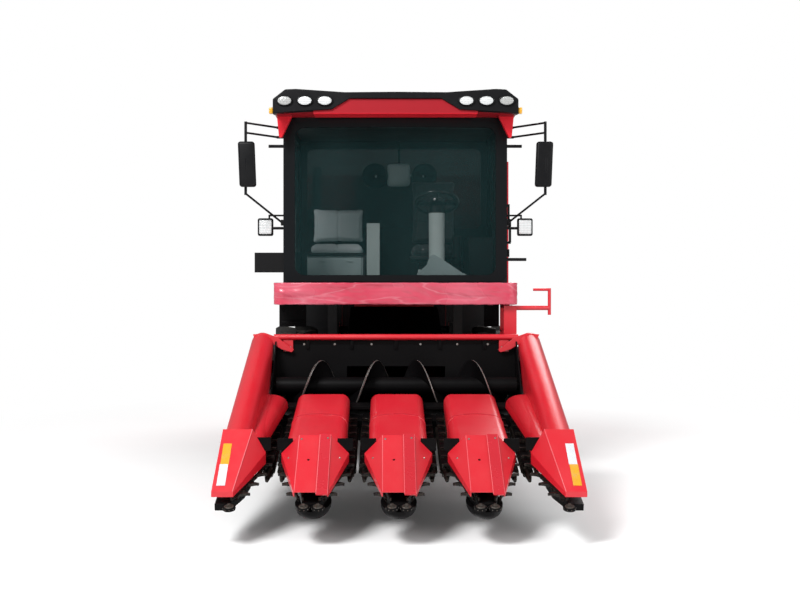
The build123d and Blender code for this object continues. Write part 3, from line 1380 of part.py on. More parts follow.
with BuildPart() as cab_glass:
    with BuildSketch(Plane.XY.offset(SCREEN_Z[0])):
        with BuildLine():
            ThreePointArc((-CAB_HALF, CAB_FRONT_Y), (0, CAB_FRONT_Y - CAB_BOW), (CAB_HALF, CAB_FRONT_Y))
            Line((CAB_HALF, CAB_FRONT_Y), (CAB_HALF, CAB_FRONT_Y - GLASS))
            ThreePointArc(
                (CAB_HALF, CAB_FRONT_Y - GLASS),
                (0, CAB_FRONT_Y - CAB_BOW - GLASS),
                (-CAB_HALF, CAB_FRONT_Y - GLASS),
            )
            Line((-CAB_HALF, CAB_FRONT_Y - GLASS), (-CAB_HALF, CAB_FRONT_Y))
        make_face()
    extrude(amount=SCREEN_Z[1] - SCREEN_Z[0])
    window(
        facing(CAB_FRONT_Y + POST),
        (-CAB_HALF + PANE_INSET, SCREEN_Z[0] + PANE_INSET),
        (CAB_HALF - PANE_INSET, SCREEN_Z[1] - PANE_INSET),
        SCREEN_CORNER,
        2 * POST + CAB_BOW,
        Mode.INTERSECT,
    )
    window(facing(CAB_REAR_Y - 20), *REAR_WINDOW, WINDOW_CORNER, GLASS)
    window(sideways(-CAB_HALF + 20), *RIGHT_WINDOW, WINDOW_CORNER, GLASS)
    window(sideways(CAB_HALF - 20), *QUARTER_WINDOW, WINDOW_CORNER, -GLASS)
save(cab_glass, "cab_glass")

DOOR_PANE = (
    (DOOR_FRONT_Y + DOOR_GAP + DOOR_RAIL, FLOOR_Z + 300),
    (DOOR_REAR_Y - DOOR_GAP - DOOR_RAIL, ROOF_Z - 90),
)
HANDLE_Y = DOOR_FRONT_Y + 50
with BuildPart() as door_frame:
    window(
        sideways(CAB_HALF - 3),
        (DOOR_FRONT_Y + DOOR_GAP, DOOR_OPENING[0][1] + DOOR_GAP),
        (DOOR_REAR_Y - DOOR_GAP, DOOR_OPENING[1][1] - DOOR_GAP),
        20,
        -WALL + 3,
    )
    window(sideways(CAB_HALF), *DOOR_PANE, WINDOW_CORNER, -2 * WALL, Mode.SUBTRACT)
    block((CAB_HALF - 10, HANDLE_Y - 12, 2200), (CAB_HALF + 36, HANDLE_Y + 12, 2224))
    block((CAB_HALF - 10, HANDLE_Y - 12, 2376), (CAB_HALF + 36, HANDLE_Y + 12, 2400))
    block((CAB_HALF + 18, HANDLE_Y - 12, 2200), (CAB_HALF + 36, HANDLE_Y + 12, 2400))
    for z in HINGE_ZS:
        low, high = z - HINGE_HALF, z + HINGE_HALF
        block((CAB_HALF - 4, DOOR_REAR_Y - 60, low), (CAB_HALF + 16, DOOR_REAR_Y - 9, high))
        block((HINGE_X - 10, DOOR_REAR_Y - HINGE_R, low), (HINGE_X + 10, DOOR_REAR_Y, high))
        rod((HINGE_X, DOOR_REAR_Y, z - HINGE_HALF), (HINGE_X, DOOR_REAR_Y, z + HINGE_HALF), HINGE_R)
        rod(
            (HINGE_X, DOOR_REAR_Y, z - HINGE_HALF),
            (HINGE_X, DOOR_REAR_Y, z + HINGE_HALF),
            HINGE_PIN_R + RUNNING_GAP,
            mode=Mode.SUBTRACT,
        )
save(door_frame, "door_frame")

with BuildPart() as door_glass:
    window(sideways(CAB_HALF - 20), *DOOR_PANE, WINDOW_CORNER, -GLASS)
save(door_glass, "door_glass")

# Roof with its red brow, the black lamp visor and the lamps

BROW_Z = (ROOF_Z - 15, 3262)
CHEEK_Y = (CAB_FRONT_Y - CAB_BOW - GLASS - 70, CAB_FRONT_Y - CAB_BOW - GLASS - 10)
with BuildPart() as cab_roof:
    with BuildSketch(Plane.XY.offset(ROOF_Z)):
        with Locations((0, (ROOF_FRONT_Y + CAB_REAR_Y + 100) / 2)):
            RectangleRounded(2 * ROOF_HALF, CAB_REAR_Y + 100 - ROOF_FRONT_Y, 110)
    extrude(amount=ROOF_TOP - ROOF_Z)
    chamfer(cab_roof.edges().group_by(Axis.Z)[-1], 55)
    block((-700, VISOR_Y + 20, BROW_Z[0]), (700, ROOF_FRONT_Y + 150, BROW_Z[1]))
    for side in (-1, 1):
        panel(
            [(side * x, z) for x, z in ((890, ROOF_Z + 10), (1030, ROOF_Z + 10), (1010, 2960), (985, 2960))],
            *CHEEK_Y,
        )
    block((-300, -500, ROOF_TOP - 10), (300, 200, ROOF_TOP + 34))
save(cab_roof, "cab_roof")

VISOR_OUTLINE = (
    # x, z of one half, from the middle of the top edge round to the notch over the brow
    (0, 3320),
    (430, 3316),
    (850, 3344),
    (940, 3340),
    (ROOF_HALF, 3258),
    (ROOF_HALF, 3130),
    (900, 3148),
    (545, 3168),
    (390, BROW_Z[1]),
)
with BuildPart() as roof_visor:
    panel([*VISOR_OUTLINE, *[(-x, z) for x, z in reversed(VISOR_OUTLINE[1:])]], VISOR_Y, ROOF_FRONT_Y)
    block((-700, VISOR_Y + 20, BROW_Z[0]), (700, ROOF_FRONT_Y, BROW_Z[1]), mode=Mode.SUBTRACT)
save(roof_visor, "roof_visor")

LAMP_XS = (602, 772, 944)
LAMP_Z = 3242
SIDE_LAMP_Y = CAB_FRONT_Y + 20
with BuildPart() as lamps:
    for x in LAMP_XS:
        with BuildSketch(facing(VISOR_Y)):
            with Locations((x, LAMP_Z)):
                Ellipse(64, 40)
        extrude(amount=18)
    block((ROOF_HALF, VISOR_Y + 20, 3136), (ROOF_HALF + 34, VISOR_Y + 60, 3190))
    block((1070, SIDE_LAMP_Y - 30, 2110), (1215, SIDE_LAMP_Y + 30, 2270))
    rod((CAB_HALF, SIDE_LAMP_Y, 2180), (1075, SIDE_LAMP_Y, 2180), 12)
    rod((CAB_HALF, SIDE_LAMP_Y, 2292), (1110, SIDE_LAMP_Y, 2292), 8)
    rod((1110, SIDE_LAMP_Y, 2300), (1110, SIDE_LAMP_Y, 2260), 8)
    block((480, RAIL_YS[1], 1010), (580, RAIL_YS[1] + 24, 1110))
    mirror(about=Plane.YZ)
save(lamps, "lamps")

MIRROR_Y = CAB_FRONT_Y - 240
ARM_ROOT_Y = CAB_FRONT_Y + 40
MIRROR_ARM_X = 1286
with BuildPart() as mirrors:
    for z in (3070, 2985):
        rod((CAB_HALF, ARM_ROOT_Y, z), (CAB_HALF + 62, ARM_ROOT_Y, z), 12)
        rod((CAB_HALF + 52, ARM_ROOT_Y, z), (MIRROR_ARM_X, MIRROR_Y, z), 9)
    rod((MIRROR_ARM_X, MIRROR_Y, 2450), (MIRROR_ARM_X, MIRROR_Y, 3080), 12)
    with BuildSketch(Plane.XY.offset(2515)):
        with BuildLine():
            Polyline(
                (MIRROR_X, MIRROR_Y - 4),
                (MIRROR_X, MIRROR_Y - 36),
                (MIRROR_X - 22, MIRROR_Y - 60),
                (MIRROR_X - 104, MIRROR_Y - 60),
                (MIRROR_X - 126, MIRROR_Y - 36),
                (MIRROR_X - 126, MIRROR_Y - 4),
                close=True,
            )
        make_face()
    extrude(amount=390)
    block((CAB_HALF, ARM_ROOT_Y - 25, 2205), (CAB_HALF + 24, ARM_ROOT_Y + 25, 2255))
    rod((CAB_HALF + 14, ARM_ROOT_Y, 2230), (MIRROR_ARM_X, MIRROR_Y, 2462), 9)
    rod((CAB_HALF, ARM_ROOT_Y, 2905), (1118, ARM_ROOT_Y, 2905), 14)
    mirror(about=Plane.YZ)
    rod((CAB_HALF, ARM_ROOT_Y, 1905), (1158, ARM_ROOT_Y, 1905), 14)
save(mirrors, "mirrors")

# Seats, steering column, console and the way up

DRIVER_X = 380
BENCH_X = (-820, -270)
SEAT_TOP = FLOOR_Z + 440
with BuildPart() as seats:
    block((DRIVER_X - 180, -420, FLOOR_Z), (DRIVER_X + 180, -100, SEAT_TOP - 110))
    block((DRIVER_X - 250, -500, SEAT_TOP - 110), (DRIVER_X + 250, 10, SEAT_TOP))
    plate(
        ((-40, SEAT_TOP), (70, SEAT_TOP), (150, SEAT_TOP + 680), (60, SEAT_TOP + 680)),
        DRIVER_X - 240,
        DRIVER_X + 240,
    )
    block((BENCH_X[0], -380, FLOOR_Z), (BENCH_X[1], 80, SEAT_TOP - 90))
    block((BENCH_X[0], -400, SEAT_TOP - 90), (BENCH_X[1], 80, SEAT_TOP + 10))
    plate(
        ((0, SEAT_TOP + 10), (80, SEAT_TOP + 10), (130, SEAT_TOP + 400), (40, SEAT_TOP + 400)),
        *BENCH_X,
    )
save(seats, "seats")

COLUMN_Y = CAB_FRONT_Y + 260
WHEEL_Z = FLOOR_Z + 800
with BuildPart() as steering_column:
    plate(
        (
            (COLUMN_Y - 130, FLOOR_Z),
            (COLUMN_Y + 150, FLOOR_Z),
            (COLUMN_Y + 120, FLOOR_Z + 200),
            (COLUMN_Y - 20, FLOOR_Z + 200),
            (COLUMN_Y - 130, FLOOR_Z + 90),
        ),
        DRIVER_X - 170,
        DRIVER_X + 190,
    )
    rod((DRIVER_X, COLUMN_Y + 20, FLOOR_Z + 150), (DRIVER_X, COLUMN_Y + 80, WHEEL_Z - 20), 72)
    with BuildSketch(Plane(origin=(DRIVER_X, COLUMN_Y + 84, WHEEL_Z), x_dir=(1, 0, 0), z_dir=(0, 0.5, 1))):
        RegularPolygon(205, 20)
        RegularPolygon(175, 20, mode=Mode.SUBTRACT)
        Rectangle(380, 50)
        Circle(70)
    extrude(amount=28)
    block((BENCH_X[1] + 10, -420, FLOOR_Z), (BENCH_X[1] + 130, 100, SEAT_TOP + 200))
    block((DRIVER_X + 300, -560, FLOOR_Z), (DRIVER_X + 520, 60, SEAT_TOP + 60))
    rod((DRIVER_X + 180, COLUMN_Y + 60, FLOOR_Z), (DRIVER_X + 180, COLUMN_Y + 60, FLOOR_Z + 500), 32)
save(steering_column, "steering_column")

LADDER_YS = (TIP_Y + 2560, TIP_Y + 2870)
LADDER_X = (930, 1040)
ARM_Z = 1480
with BuildPart() as boarding_ladder:
    for y in LADDER_YS:
        block((LADDER_X[0], y, 560), (LADDER_X[1], y + 14, SKIRT_Z[0] - 5))
    for z in (580, 810, 1040, 1270, ARM_Z):
        block((LADDER_X[0], LADDER_YS[0], z), (LADDER_X[1], LADDER_YS[1] + 14, z + 18))
    for y in (LADDER_YS[0] + 50, LADDER_YS[1]):
        block((LADDER_X[0], y, ARM_Z), (CAB_HALF, y + 14, FLOOR_Z - FLOOR_THICK))
    rod((LADDER_X[1] - 10, LADDER_YS[0] + 60, ARM_Z), (1330, LADDER_YS[0] + 60, ARM_Z), 20)
    rod((1330, LADDER_YS[0] + 60, ARM_Z - 60), (1330, LADDER_YS[0] + 60, ARM_Z + 170), 14)
    rod((1336, LADDER_YS[0] + 60, ARM_Z + 158), (1190, LADDER_YS[0] + 60, ARM_Z + 158), 12)
save(boarding_ladder, "boarding_ladder")
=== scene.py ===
import json
import math

import bmesh
import bpy
from mathutils import Matrix, Vector, noise


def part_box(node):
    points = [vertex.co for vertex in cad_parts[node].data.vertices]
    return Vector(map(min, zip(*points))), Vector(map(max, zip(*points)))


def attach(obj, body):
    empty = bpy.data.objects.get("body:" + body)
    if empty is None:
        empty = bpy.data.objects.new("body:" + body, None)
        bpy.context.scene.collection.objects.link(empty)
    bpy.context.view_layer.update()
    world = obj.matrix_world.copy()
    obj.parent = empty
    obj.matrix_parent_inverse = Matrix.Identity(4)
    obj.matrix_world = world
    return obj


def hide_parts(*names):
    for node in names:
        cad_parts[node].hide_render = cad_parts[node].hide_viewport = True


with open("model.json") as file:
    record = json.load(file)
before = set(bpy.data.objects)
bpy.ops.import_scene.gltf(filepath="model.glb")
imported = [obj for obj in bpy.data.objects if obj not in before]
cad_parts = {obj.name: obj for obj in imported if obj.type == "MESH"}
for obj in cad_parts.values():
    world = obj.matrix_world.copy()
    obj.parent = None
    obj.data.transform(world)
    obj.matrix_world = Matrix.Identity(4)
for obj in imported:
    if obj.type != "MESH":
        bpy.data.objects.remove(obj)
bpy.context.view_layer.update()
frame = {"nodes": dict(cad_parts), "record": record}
body_of_node = {
    node: body
    for body, nodes in frame["record"]["behaviour"]["bodies"].items()
    for node in nodes
}


# Finishes

MIX_COLOURS, MIX_RESULT = (6, 7), 2  # a Mix node's colour sockets, whose names its other kinds share


class Channel:
    """A shader socket that takes part in sums."""

    def __init__(self, tree, socket):
        self.tree = tree
        self.socket = socket

    def sum(self, operation, other, turned=False):
        """Adds a Math node; turned puts the other term first."""
        node = self.tree.nodes.new("ShaderNodeMath")
        node.operation = operation
        terms = (other, self) if turned else (self, other)
        for slot, term in zip(node.inputs, terms):
            if isinstance(term, Channel):
                self.tree.links.new(term.socket, slot)
            else:
                slot.default_value = term
        return Channel(self.tree, node.outputs[0])

    def __add__(self, other):
        return self.sum("ADD", other)

    def __radd__(self, other):
        return self.sum("ADD", other, True)

    def __sub__(self, other):
        return self.sum("SUBTRACT", other)

    def __rsub__(self, other):
        return self.sum("SUBTRACT", other, True)

    def __mul__(self, other):
        return self.sum("MULTIPLY", other)

    def __rmul__(self, other):
        return self.sum("MULTIPLY", other, True)

    def __truediv__(self, other):
        return self.sum("DIVIDE", other)

    def __rtruediv__(self, other):
        return self.sum("DIVIDE", other, True)

    def __gt__(self, other):
        return self.sum("GREATER_THAN", other)

    def __lt__(self, other):
        return self.sum("LESS_THAN", other)

    def __abs__(self):
        return self.sum("ABSOLUTE", 0)

    def wave(self):
        return self.sum("SINE", 0)

    def most(self, other):
        return self.sum("MAXIMUM", other)


class NodeTree:
    """A tree of nodes and the one way to add to it."""

    def __init__(self, tree):
        self.tree = tree

    def node(self, kind, settings=None, inputs=None, output=0):
        node = self.tree.nodes.new("ShaderNode" + kind)
        for setting, value in (settings or {}).items():
            setattr(node, setting, value)
        for socket, value in (inputs or {}).items():
            if isinstance(value, Channel):
                self.tree.links.new(value.socket, node.inputs[socket])
            else:
                node.inputs[socket].default_value = value
        return Channel(self.tree, node.outputs[output])


class Finish(NodeTree):
    """A procedural finish on object coordinates."""

    def __init__(self, name, fixed=None):
        self.material = bpy.data.materials.new(name)
        self.material.use_nodes = True
        super().__init__(self.material.node_tree)
        self.shader = self.tree.nodes["Principled BSDF"]
        for socket, value in (fixed or {}).items():
            self.shader.inputs[socket].default_value = value
        self.where = self.node("TexCoord", output="Object")

    def grain(self, scale, detail=4.0, stretch=None):
        """Soft noise from 0 to 1, of that many spots a metre."""
        where = self.where
        if stretch:
            where = self.node("Mapping", inputs={"Vector": where, "Scale": stretch})
        inputs = {"Vector": where, "Scale": scale, "Detail": detail, "Roughness": 0.6}
        return self.node("TexNoise", inputs=inputs)

    def spread(self, value, low, high):
        """Stretches a value so that low becomes 0 and high becomes 1."""
        inputs = {"Value": value, "From Min": low, "From Max": high}
        return self.node("MapRange", {"clamp": True}, inputs)

    def blend(self, share, first, second):
        """Mixes two colours."""
        inputs = {"Factor": share}
        for slot, colour in zip(MIX_COLOURS, (first, second)):
            inputs[slot] = colour if isinstance(colour, Channel) else (*colour, 1.0)
        return self.node("Mix", {"data_type": "RGBA"}, inputs, MIX_RESULT)

    def axis(self, letter):
        return self.node("SeparateXYZ", inputs={"Vector": self.where}, output=letter)

    def facing_up(self):
        normal = self.node("NewGeometry", output="Normal")
        return self.node("SeparateXYZ", inputs={"Vector": normal}, output="Z")

    def bump(self, height, depth, strength=1.0):
        inputs = {"Height": height, "Distance": depth, "Strength": strength}
        self.feed("Normal", self.node("Bump", inputs=inputs))

    def feed(self, socket, value):
        self.tree.links.new(value.socket, self.shader.inputs[socket])


DUST = (0.36, 0.31, 0.25)


def enamel(name, colour, shade, rough, coat, dust, gloss=0.5):
    """Sprayed paint: slow fading, fine orange peel and dust on what faces up."""
    paint = Finish(name, {"Coat Weight": coat, "Coat Roughness": 0.3, "Specular IOR Level": gloss})
    fading = paint.spread(paint.grain(0.9, 3), 0.35, 0.7)
    specks = paint.spread(paint.grain(46, 5), 0.52, 0.78)
    smear = paint.spread(paint.grain(5, 4, (1.0, 1.0, 0.25)), 0.42, 0.75)
    lying = paint.spread(paint.facing_up(), 0.1, 0.95)
    film = (lying * 0.7 + 0.12) * (smear * 0.5 + specks * 0.5) * dust
    base = paint.blend(fading, colour, shade)
    paint.feed("Base Color", paint.blend(film, base, DUST))
    paint.feed("Roughness", rough + smear * 0.1 + film * 0.45)
    paint.bump(paint.grain(170, 2), 0.0003)
    return paint


def metal(name, colour, stain, rough, metallic, scale=60, stretch=None):
    """Bare or oiled metal with stains and fine scratches."""
    bare = Finish(name, {"Specular IOR Level": 0.5})
    stained = bare.spread(bare.grain(scale, 6), 0.42, 0.72)
    scratch = bare.grain(scale * 5, 3, stretch or (1.0, 0.12, 1.0))
    bare.feed("Base Color", bare.blend(stained, colour, stain))
    bare.feed("Metallic", metallic - stained * 0.35 * metallic)
    bare.feed("Roughness", rough + stained * 0.25 + scratch * 0.12)
    bare.bump(scratch + stained, 0.0003)
    return bare


def moulded(name, colour, shade, rough, dust, scale=420, gloss=0.3):
    """Grained plastic or rubber."""
    plastic = Finish(name, {"Specular IOR Level": gloss})
    patch = plastic.spread(plastic.grain(3, 4), 0.35, 0.75)
    lying = plastic.spread(plastic.facing_up(), 0.1, 0.95)
    film = (lying * 0.6 + 0.15) * plastic.spread(plastic.grain(22, 5), 0.4, 0.8) * dust
    base = plastic.blend(patch, colour, shade)
    plastic.feed("Base Color", plastic.blend(film, base, DUST))
    plastic.feed("Roughness", rough + patch * 0.1 + film * 0.3)
    plastic.bump(plastic.grain(scale, 2), 0.0004, 0.7)
    return plastic


RED = (0.6, 0.010, 0.022)
DEEP_RED = (0.53, 0.008, 0.018)
BLACK = (0.005, 0.005, 0.0055)

red = enamel("red_enamel", RED, DEEP_RED, 0.34, 0.4, 0.07)
# deeper red: the ridge covers' own colour, and on the hood seams a painted shade along the lap
cover_red_and_seam_shade = enamel("cover_red_and_seam_shade_enamel", (0.5, 0.012, 0.026), (0.44, 0.01, 0.02), 0.24, 0.3, 0.01)
# pale red for thin rods along the snouts' folded edges: painted highlights on the folds
red_edge_highlight = enamel("red_edge_highlight_enamel", (0.76, 0.2, 0.22), (0.68, 0.1, 0.12), 0.2, 0.5, 0.05)
black = enamel("black_enamel", BLACK, (0.009, 0.0088, 0.0088), 0.34, 0.04, 0.03, 0.22)
matt_black = enamel(
    "matt_black_enamel", (0.002, 0.0018, 0.0022), (0.004, 0.0036, 0.0038), 0.42, 0.0, 0.006, 0.08
)
underbody = enamel("frame_enamel", (0.012, 0.012, 0.013), (0.02, 0.019, 0.018), 0.5, 0.0, 0.3, 0.3)
wheel_cream = enamel("wheel_enamel", (0.62, 0.6, 0.54), (0.52, 0.5, 0.44), 0.36, 0.2, 0.6)
rubber = moulded("tyre_rubber", (0.011, 0.011, 0.011), (0.018, 0.017, 0.016), 0.7, 0.3, 160)
steel = metal("worn_steel", (0.42, 0.41, 0.4), (0.16, 0.1, 0.06), 0.34, 0.9)
lug_steel = metal("lug_steel", (0.012, 0.011, 0.011), (0.05, 0.038, 0.028), 0.3, 0.75, 70)
rusty = metal("rusty_idler", (0.11, 0.1, 0.092), (0.05, 0.028, 0.014), 0.4, 0.85, 80)
chain_steel = metal("oiled_chain", (0.02, 0.019, 0.018), (0.045, 0.026, 0.016), 0.36, 0.75, 90)
chrome = metal("chrome_rod", (0.72, 0.72, 0.73), (0.55, 0.54, 0.52), 0.1, 1.0, 30, (0.1, 1.0, 1.0))
sooty = metal("sooty_pipe", (0.12, 0.105, 0.1), (0.16, 0.075, 0.035), 0.58, 0.6, 34)
iron = metal("engine_iron", (0.1, 0.105, 0.11), (0.06, 0.055, 0.05), 0.6, 0.5, 24)
plastic = moulded("black_plastic", (0.003, 0.0032, 0.004), (0.006, 0.0062, 0.007), 0.38, 0.02, 420, 0.16)
cab_plastic = moulded("cab_plastic", (0.56, 0.7, 0.7), (0.46, 0.6, 0.6), 0.45, 0.1)
dark_cab = moulded("dark_cab_trim", (0.014, 0.016, 0.017), (0.022, 0.025, 0.026), 0.5, 0.1)


def two_tone(name, first, second, edge_axis, edge, rough, side=None):
    """One node whose two ends are painted differently."""
    paint = Finish(name, {"Coat Weight": 0.06, "Coat Roughness": 0.1, "Specular IOR Level": 0.22})
    fading = paint.spread(paint.grain(1.1, 3), 0.3, 0.75)
    share = paint.axis(edge_axis) > edge
    if side:
        share = share.most(paint.axis("X") > side)
    shaded = paint.blend(fading, first, tuple(c * 1.12 for c in first))
    other = paint.blend(fading, second, tuple(c * 0.8 for c in second))
    paint.feed("Base Color", paint.blend(share, shaded, other))
    paint.feed("Roughness", rough + fading * 0.1)
    paint.bump(paint.grain(170, 2), 0.0003)
    return paint


cab_paint = two_tone("cab_enamel", BLACK, RED, "X", 1.03, 0.3)
cover_paint = two_tone("engine_cover_enamel", BLACK, RED, "Y", 1.03, 0.26)
film_black = enamel("film_covered_black", (0.008, 0.009, 0.01), (0.03, 0.034, 0.036), 0.14, 1.0, 0.0, 0.7)
column_plastic = two_tone("column_plastic", (0.7, 0.83, 0.81), (0.016, 0.018, 0.02), "Z", 2.335, 0.4, 0.66)
roof_paint = two_tone("roof_enamel", RED, (0.33, 0.006, 0.014), "Z", 3.14, 0.4)


SCREEN_Y = -0.96  # the windscreen lies in front of this, the other panes behind
REAR_PANE_Y = 0.3  # the rear pane lies behind this
SCREEN_BORDER = (0.885, 1.764, 3.062, 0.09)  # half width, bottom, top, corner


def tinted_pane(name, border):
    """Green-grey tinted glass, with a printed black border where one is given; there the rear pane is also
    darkened almost opaque, as painted shade.
    """
    pane = Finish(name, {"Roughness": 0.03, "Specular IOR Level": 0.16})
    streak = pane.spread(pane.grain(2.2, 4, (1.0, 1.0, 0.35)), 0.35, 0.8)
    haze = pane.spread(pane.grain(60, 4), 0.5, 0.8)
    tint = pane.blend(streak, (0.006, 0.020, 0.021), (0.013, 0.034, 0.035))
    cover = 0.34 + streak * 0.07 + haze * 0.02
    if border:
        x_half, z_low, z_high, corner = border
        side = (abs(pane.axis("X")) - (x_half - corner)).most(0.0)
        tall = (abs(pane.axis("Z") - (z_low + z_high) / 2) - ((z_high - z_low) / 2 - corner)).most(0.0)
        edge = (side * side + tall * tall).sum("SQRT", 0)
        printed = pane.spread(edge, corner - 0.004, corner) * (pane.axis("Y") < SCREEN_Y)
        tint = pane.blend(printed, tint, (0.008, 0.009, 0.010))
        cover = cover.most(printed)
        # painted shade: the rear pane is darkened almost opaque to stand for the dim view through the cab
        behind = pane.spread(pane.axis("Y"), REAR_PANE_Y, REAR_PANE_Y + 0.05)
        cover = cover.most(behind * 0.86)
    pane.feed("Base Color", tint)
    pane.feed("Alpha", cover)
    return pane


screen_glass = tinted_pane("windscreen_glass", SCREEN_BORDER)
door_pane = tinted_pane("door_glass", None)


def crinkled(name):
    """Thin protective film stuck over red paint, pale along its creases: partly where it has lifted, partly
    a painted highlight on the folds.
    """
    film = Finish(name, {"Coat Weight": 0.3, "Coat Roughness": 0.2})
    inputs = {"Vector": film.where, "Rotation": (0.0, 0.32, 0.0), "Scale": (0.4, 1.0, 3.0)}
    slant = film.node("Mapping", inputs=inputs)
    folds = film.node("TexNoise", inputs={"Vector": slant, "Scale": 3.0, "Detail": 2.0, "Roughness": 0.45})
    crease_lift_and_highlight = 1 - film.spread(abs(folds - 0.5), 0.0, 0.02)
    milk = film.spread(film.grain(1.7, 3), 0.3, 0.75)
    pale = film.blend(milk, (0.52, 0.03, 0.068), (0.58, 0.12, 0.17))
    # pale crease lines: partly lifted film, partly a painted highlight on the folds
    film.feed("Base Color", film.blend(crease_lift_and_highlight * 0.22, pale, (0.74, 0.4, 0.45)))
    film.feed("Roughness", 0.2 + milk * 0.14)
    film.bump(folds, 0.05, 0.8)
    return film


skirt_film = crinkled("skirt_film")


THREADS = 1900


def woven(name, colour, thread, gloss):
    """Seat cloth under a clear cover: a fine weave with soft streaks."""
    fixed = {"Sheen Weight": 0.3, "Sheen Roughness": 0.4, "Coat Weight": gloss, "Coat Roughness": 0.18}
    cloth = Finish(name, fixed)
    warp = (cloth.axis("X") * THREADS).wave()
    weft = ((cloth.axis("Z") + cloth.axis("Y")) * THREADS).wave()
    weave = warp * weft * 0.5 + 0.5
    worn = cloth.spread(cloth.grain(7, 5), 0.4, 0.75)
    base = cloth.blend(weave, colour, thread)
    cloth.feed("Base Color", cloth.blend(worn * 0.4, base, tuple(min(0.8, c * 1.5) for c in thread)))
    cloth.feed("Roughness", 0.7 + weave * 0.15)
    cloth.bump(weave * 0.4 + cloth.grain(18, 4), 0.0018)
    return cloth


seat_cloth = woven("seat_cloth", (0.03, 0.034, 0.037), (0.06, 0.066, 0.07), 0.5)
bench_cloth = woven("bench_cloth", (0.58, 0.7, 0.71), (0.68, 0.78, 0.79), 0.6)


def lens(name, colour, deep):
    """Ribbed lens plastic."""
    clear = Finish(name, {"Coat Weight": 0.8, "Coat Roughness": 0.03, "Specular IOR Level": 0.6})
    rib = (clear.axis("X") * 520).wave() * 0.5 + 0.5
    cell = (clear.axis("Z") * 420).wave() * 0.5 + 0.5
    clear.feed("Base Color", clear.blend(rib * cell, colour, deep))
    clear.feed("Roughness", 0.12 + rib * 0.1)
    clear.bump(rib * cell, 0.0012)
    return clear


lamp_lens = lens("lamp_lens", (0.66, 0.68, 0.68), (0.34, 0.36, 0.37))
dim_lens = lens("grey_lens", (0.4, 0.41, 0.4), (0.2, 0.21, 0.21))
amber_lens = lens("amber_lens", (0.72, 0.38, 0.02), (0.5, 0.2, 0.01))
red_lens = lens("tail_lens", (0.5, 0.012, 0.012), (0.3, 0.006, 0.006))


def prismatic(name, colour, cell_colour):
    """Retroreflective tape with its fine cells."""
    tape = Finish(name, {"Coat Weight": 0.4, "Coat Roughness": 0.1})
    cells = tape.node("TexVoronoi", {"feature": "DISTANCE_TO_EDGE"}, {"Vector": tape.where, "Scale": 240.0})
    rim = tape.spread(cells, 0.02, 0.1)
    worn = tape.spread(tape.grain(20, 5), 0.5, 0.8)
    tape.feed("Base Color", tape.blend(worn * 0.35, tape.blend(rim, cell_colour, colour), DUST))
    tape.feed("Roughness", 0.3 + worn * 0.2)
    tape.bump(rim, 0.0002)
    return tape


yellow_tape = prismatic("yellow_tape", (0.72, 0.36, 0.012), (0.5, 0.24, 0.01))
white_tape = prismatic("white_tape", (0.68, 0.7, 0.74), (0.48, 0.5, 0.54))


# Making of pieces

ACROSS = Vector((1, 0, 0))
UP = Vector((0, 0, 1))
SIDES = (-1, 1)
BROAD = 0.02  # metres of area to perimeter above which a face counts as a flat sheet


def as_piece(name, bm, body, finish, stands_for=(), smooth=38, tidy=True):
    """Closes a bmesh into a piece that rides a body."""
    if tidy:
        bmesh.ops.remove_doubles(bm, verts=bm.verts, dist=1e-5)
        bmesh.ops.recalc_face_normals(bm, faces=bm.faces)
    mesh = bpy.data.meshes.new(name)
    bm.to_mesh(mesh)
    bm.free()
    mesh.materials.append(finish.material)
    mesh.shade_smooth()
    mesh.set_sharp_from_angle(angle=math.radians(smooth))
    piece = bpy.data.objects.new(name, mesh)
    bpy.context.scene.collection.objects.link(piece)
    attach(piece, body)
    if stands_for:
        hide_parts(*stands_for)
    return piece


def softened(piece, width, segments=2):
    """Rounds a piece's edges with a live bevel."""
    bevel = piece.modifiers.new("edges", "BEVEL")
    bevel.width = width
    bevel.segments = segments
    bevel.limit_method = "ANGLE"
    bevel.angle_limit = math.radians(35)
    bevel.use_clamp_overlap = True
    bevel.harden_normals = True
    bevel.profile = 0.5


def node_mesh(node):
    """A merged copy of a CAD node, with its flat faces whole."""
    bm = bmesh.new()
    bm.from_mesh(frame["nodes"][node].data)
    bmesh.ops.remove_doubles(bm, verts=bm.verts, dist=2e-5)
    bmesh.ops.dissolve_limit(bm, angle_limit=math.radians(0.15), verts=bm.verts, edges=bm.edges)
    return bm


def dressed(node, finish, width):
    """A CAD node's own form with softened edges and a finish."""
    piece = as_piece(node + "_look", node_mesh(node), body_of_node[node], finish, (node,), tidy=False)
    points = piece.data.vertices
    for face in piece.data.polygons:
        ring = [points[k].co for k in face.vertices]
        around = sum((one - two).length for one, two in zip(ring, ring[1:] + ring[:1]))
        face.use_smooth = face.area < around * BROAD
    if width:
        softened(piece, width)


def rod(bm, start, end, radius, sides=20, end_radius=None):
    """A round bar between two points, or a taper."""
    start, end = Vector(start), Vector(end)
    turn = UP.rotation_difference(end - start).to_matrix().to_4x4()
    bmesh.ops.create_cone(
        bm,
        cap_ends=True,
        segments=sides,
        radius1=radius,
        radius2=radius if end_radius is None else end_radius,
        depth=(end - start).length,
        matrix=Matrix.Translation((start + end) / 2) @ turn,
    )


def slab(bm, corner, opposite, edge=0.0, segments=2):
    """A box between two opposite corners, with rounded edges."""
    low = Vector(tuple(map(min, corner, opposite)))
    high = Vector(tuple(map(max, corner, opposite)))
    place = Matrix.Translation((low + high) / 2) @ Matrix.Diagonal((*(high - low), 1))
    made = bmesh.ops.create_cube(bm, size=1.0, matrix=place)
    if edge:
        edges = list(dict.fromkeys(e for v in made["verts"] for e in v.link_edges))
        bmesh.ops.bevel(
            bm, geom=edges, offset=edge, segments=segments, profile=0.5, affect="EDGES", material=-1
        )


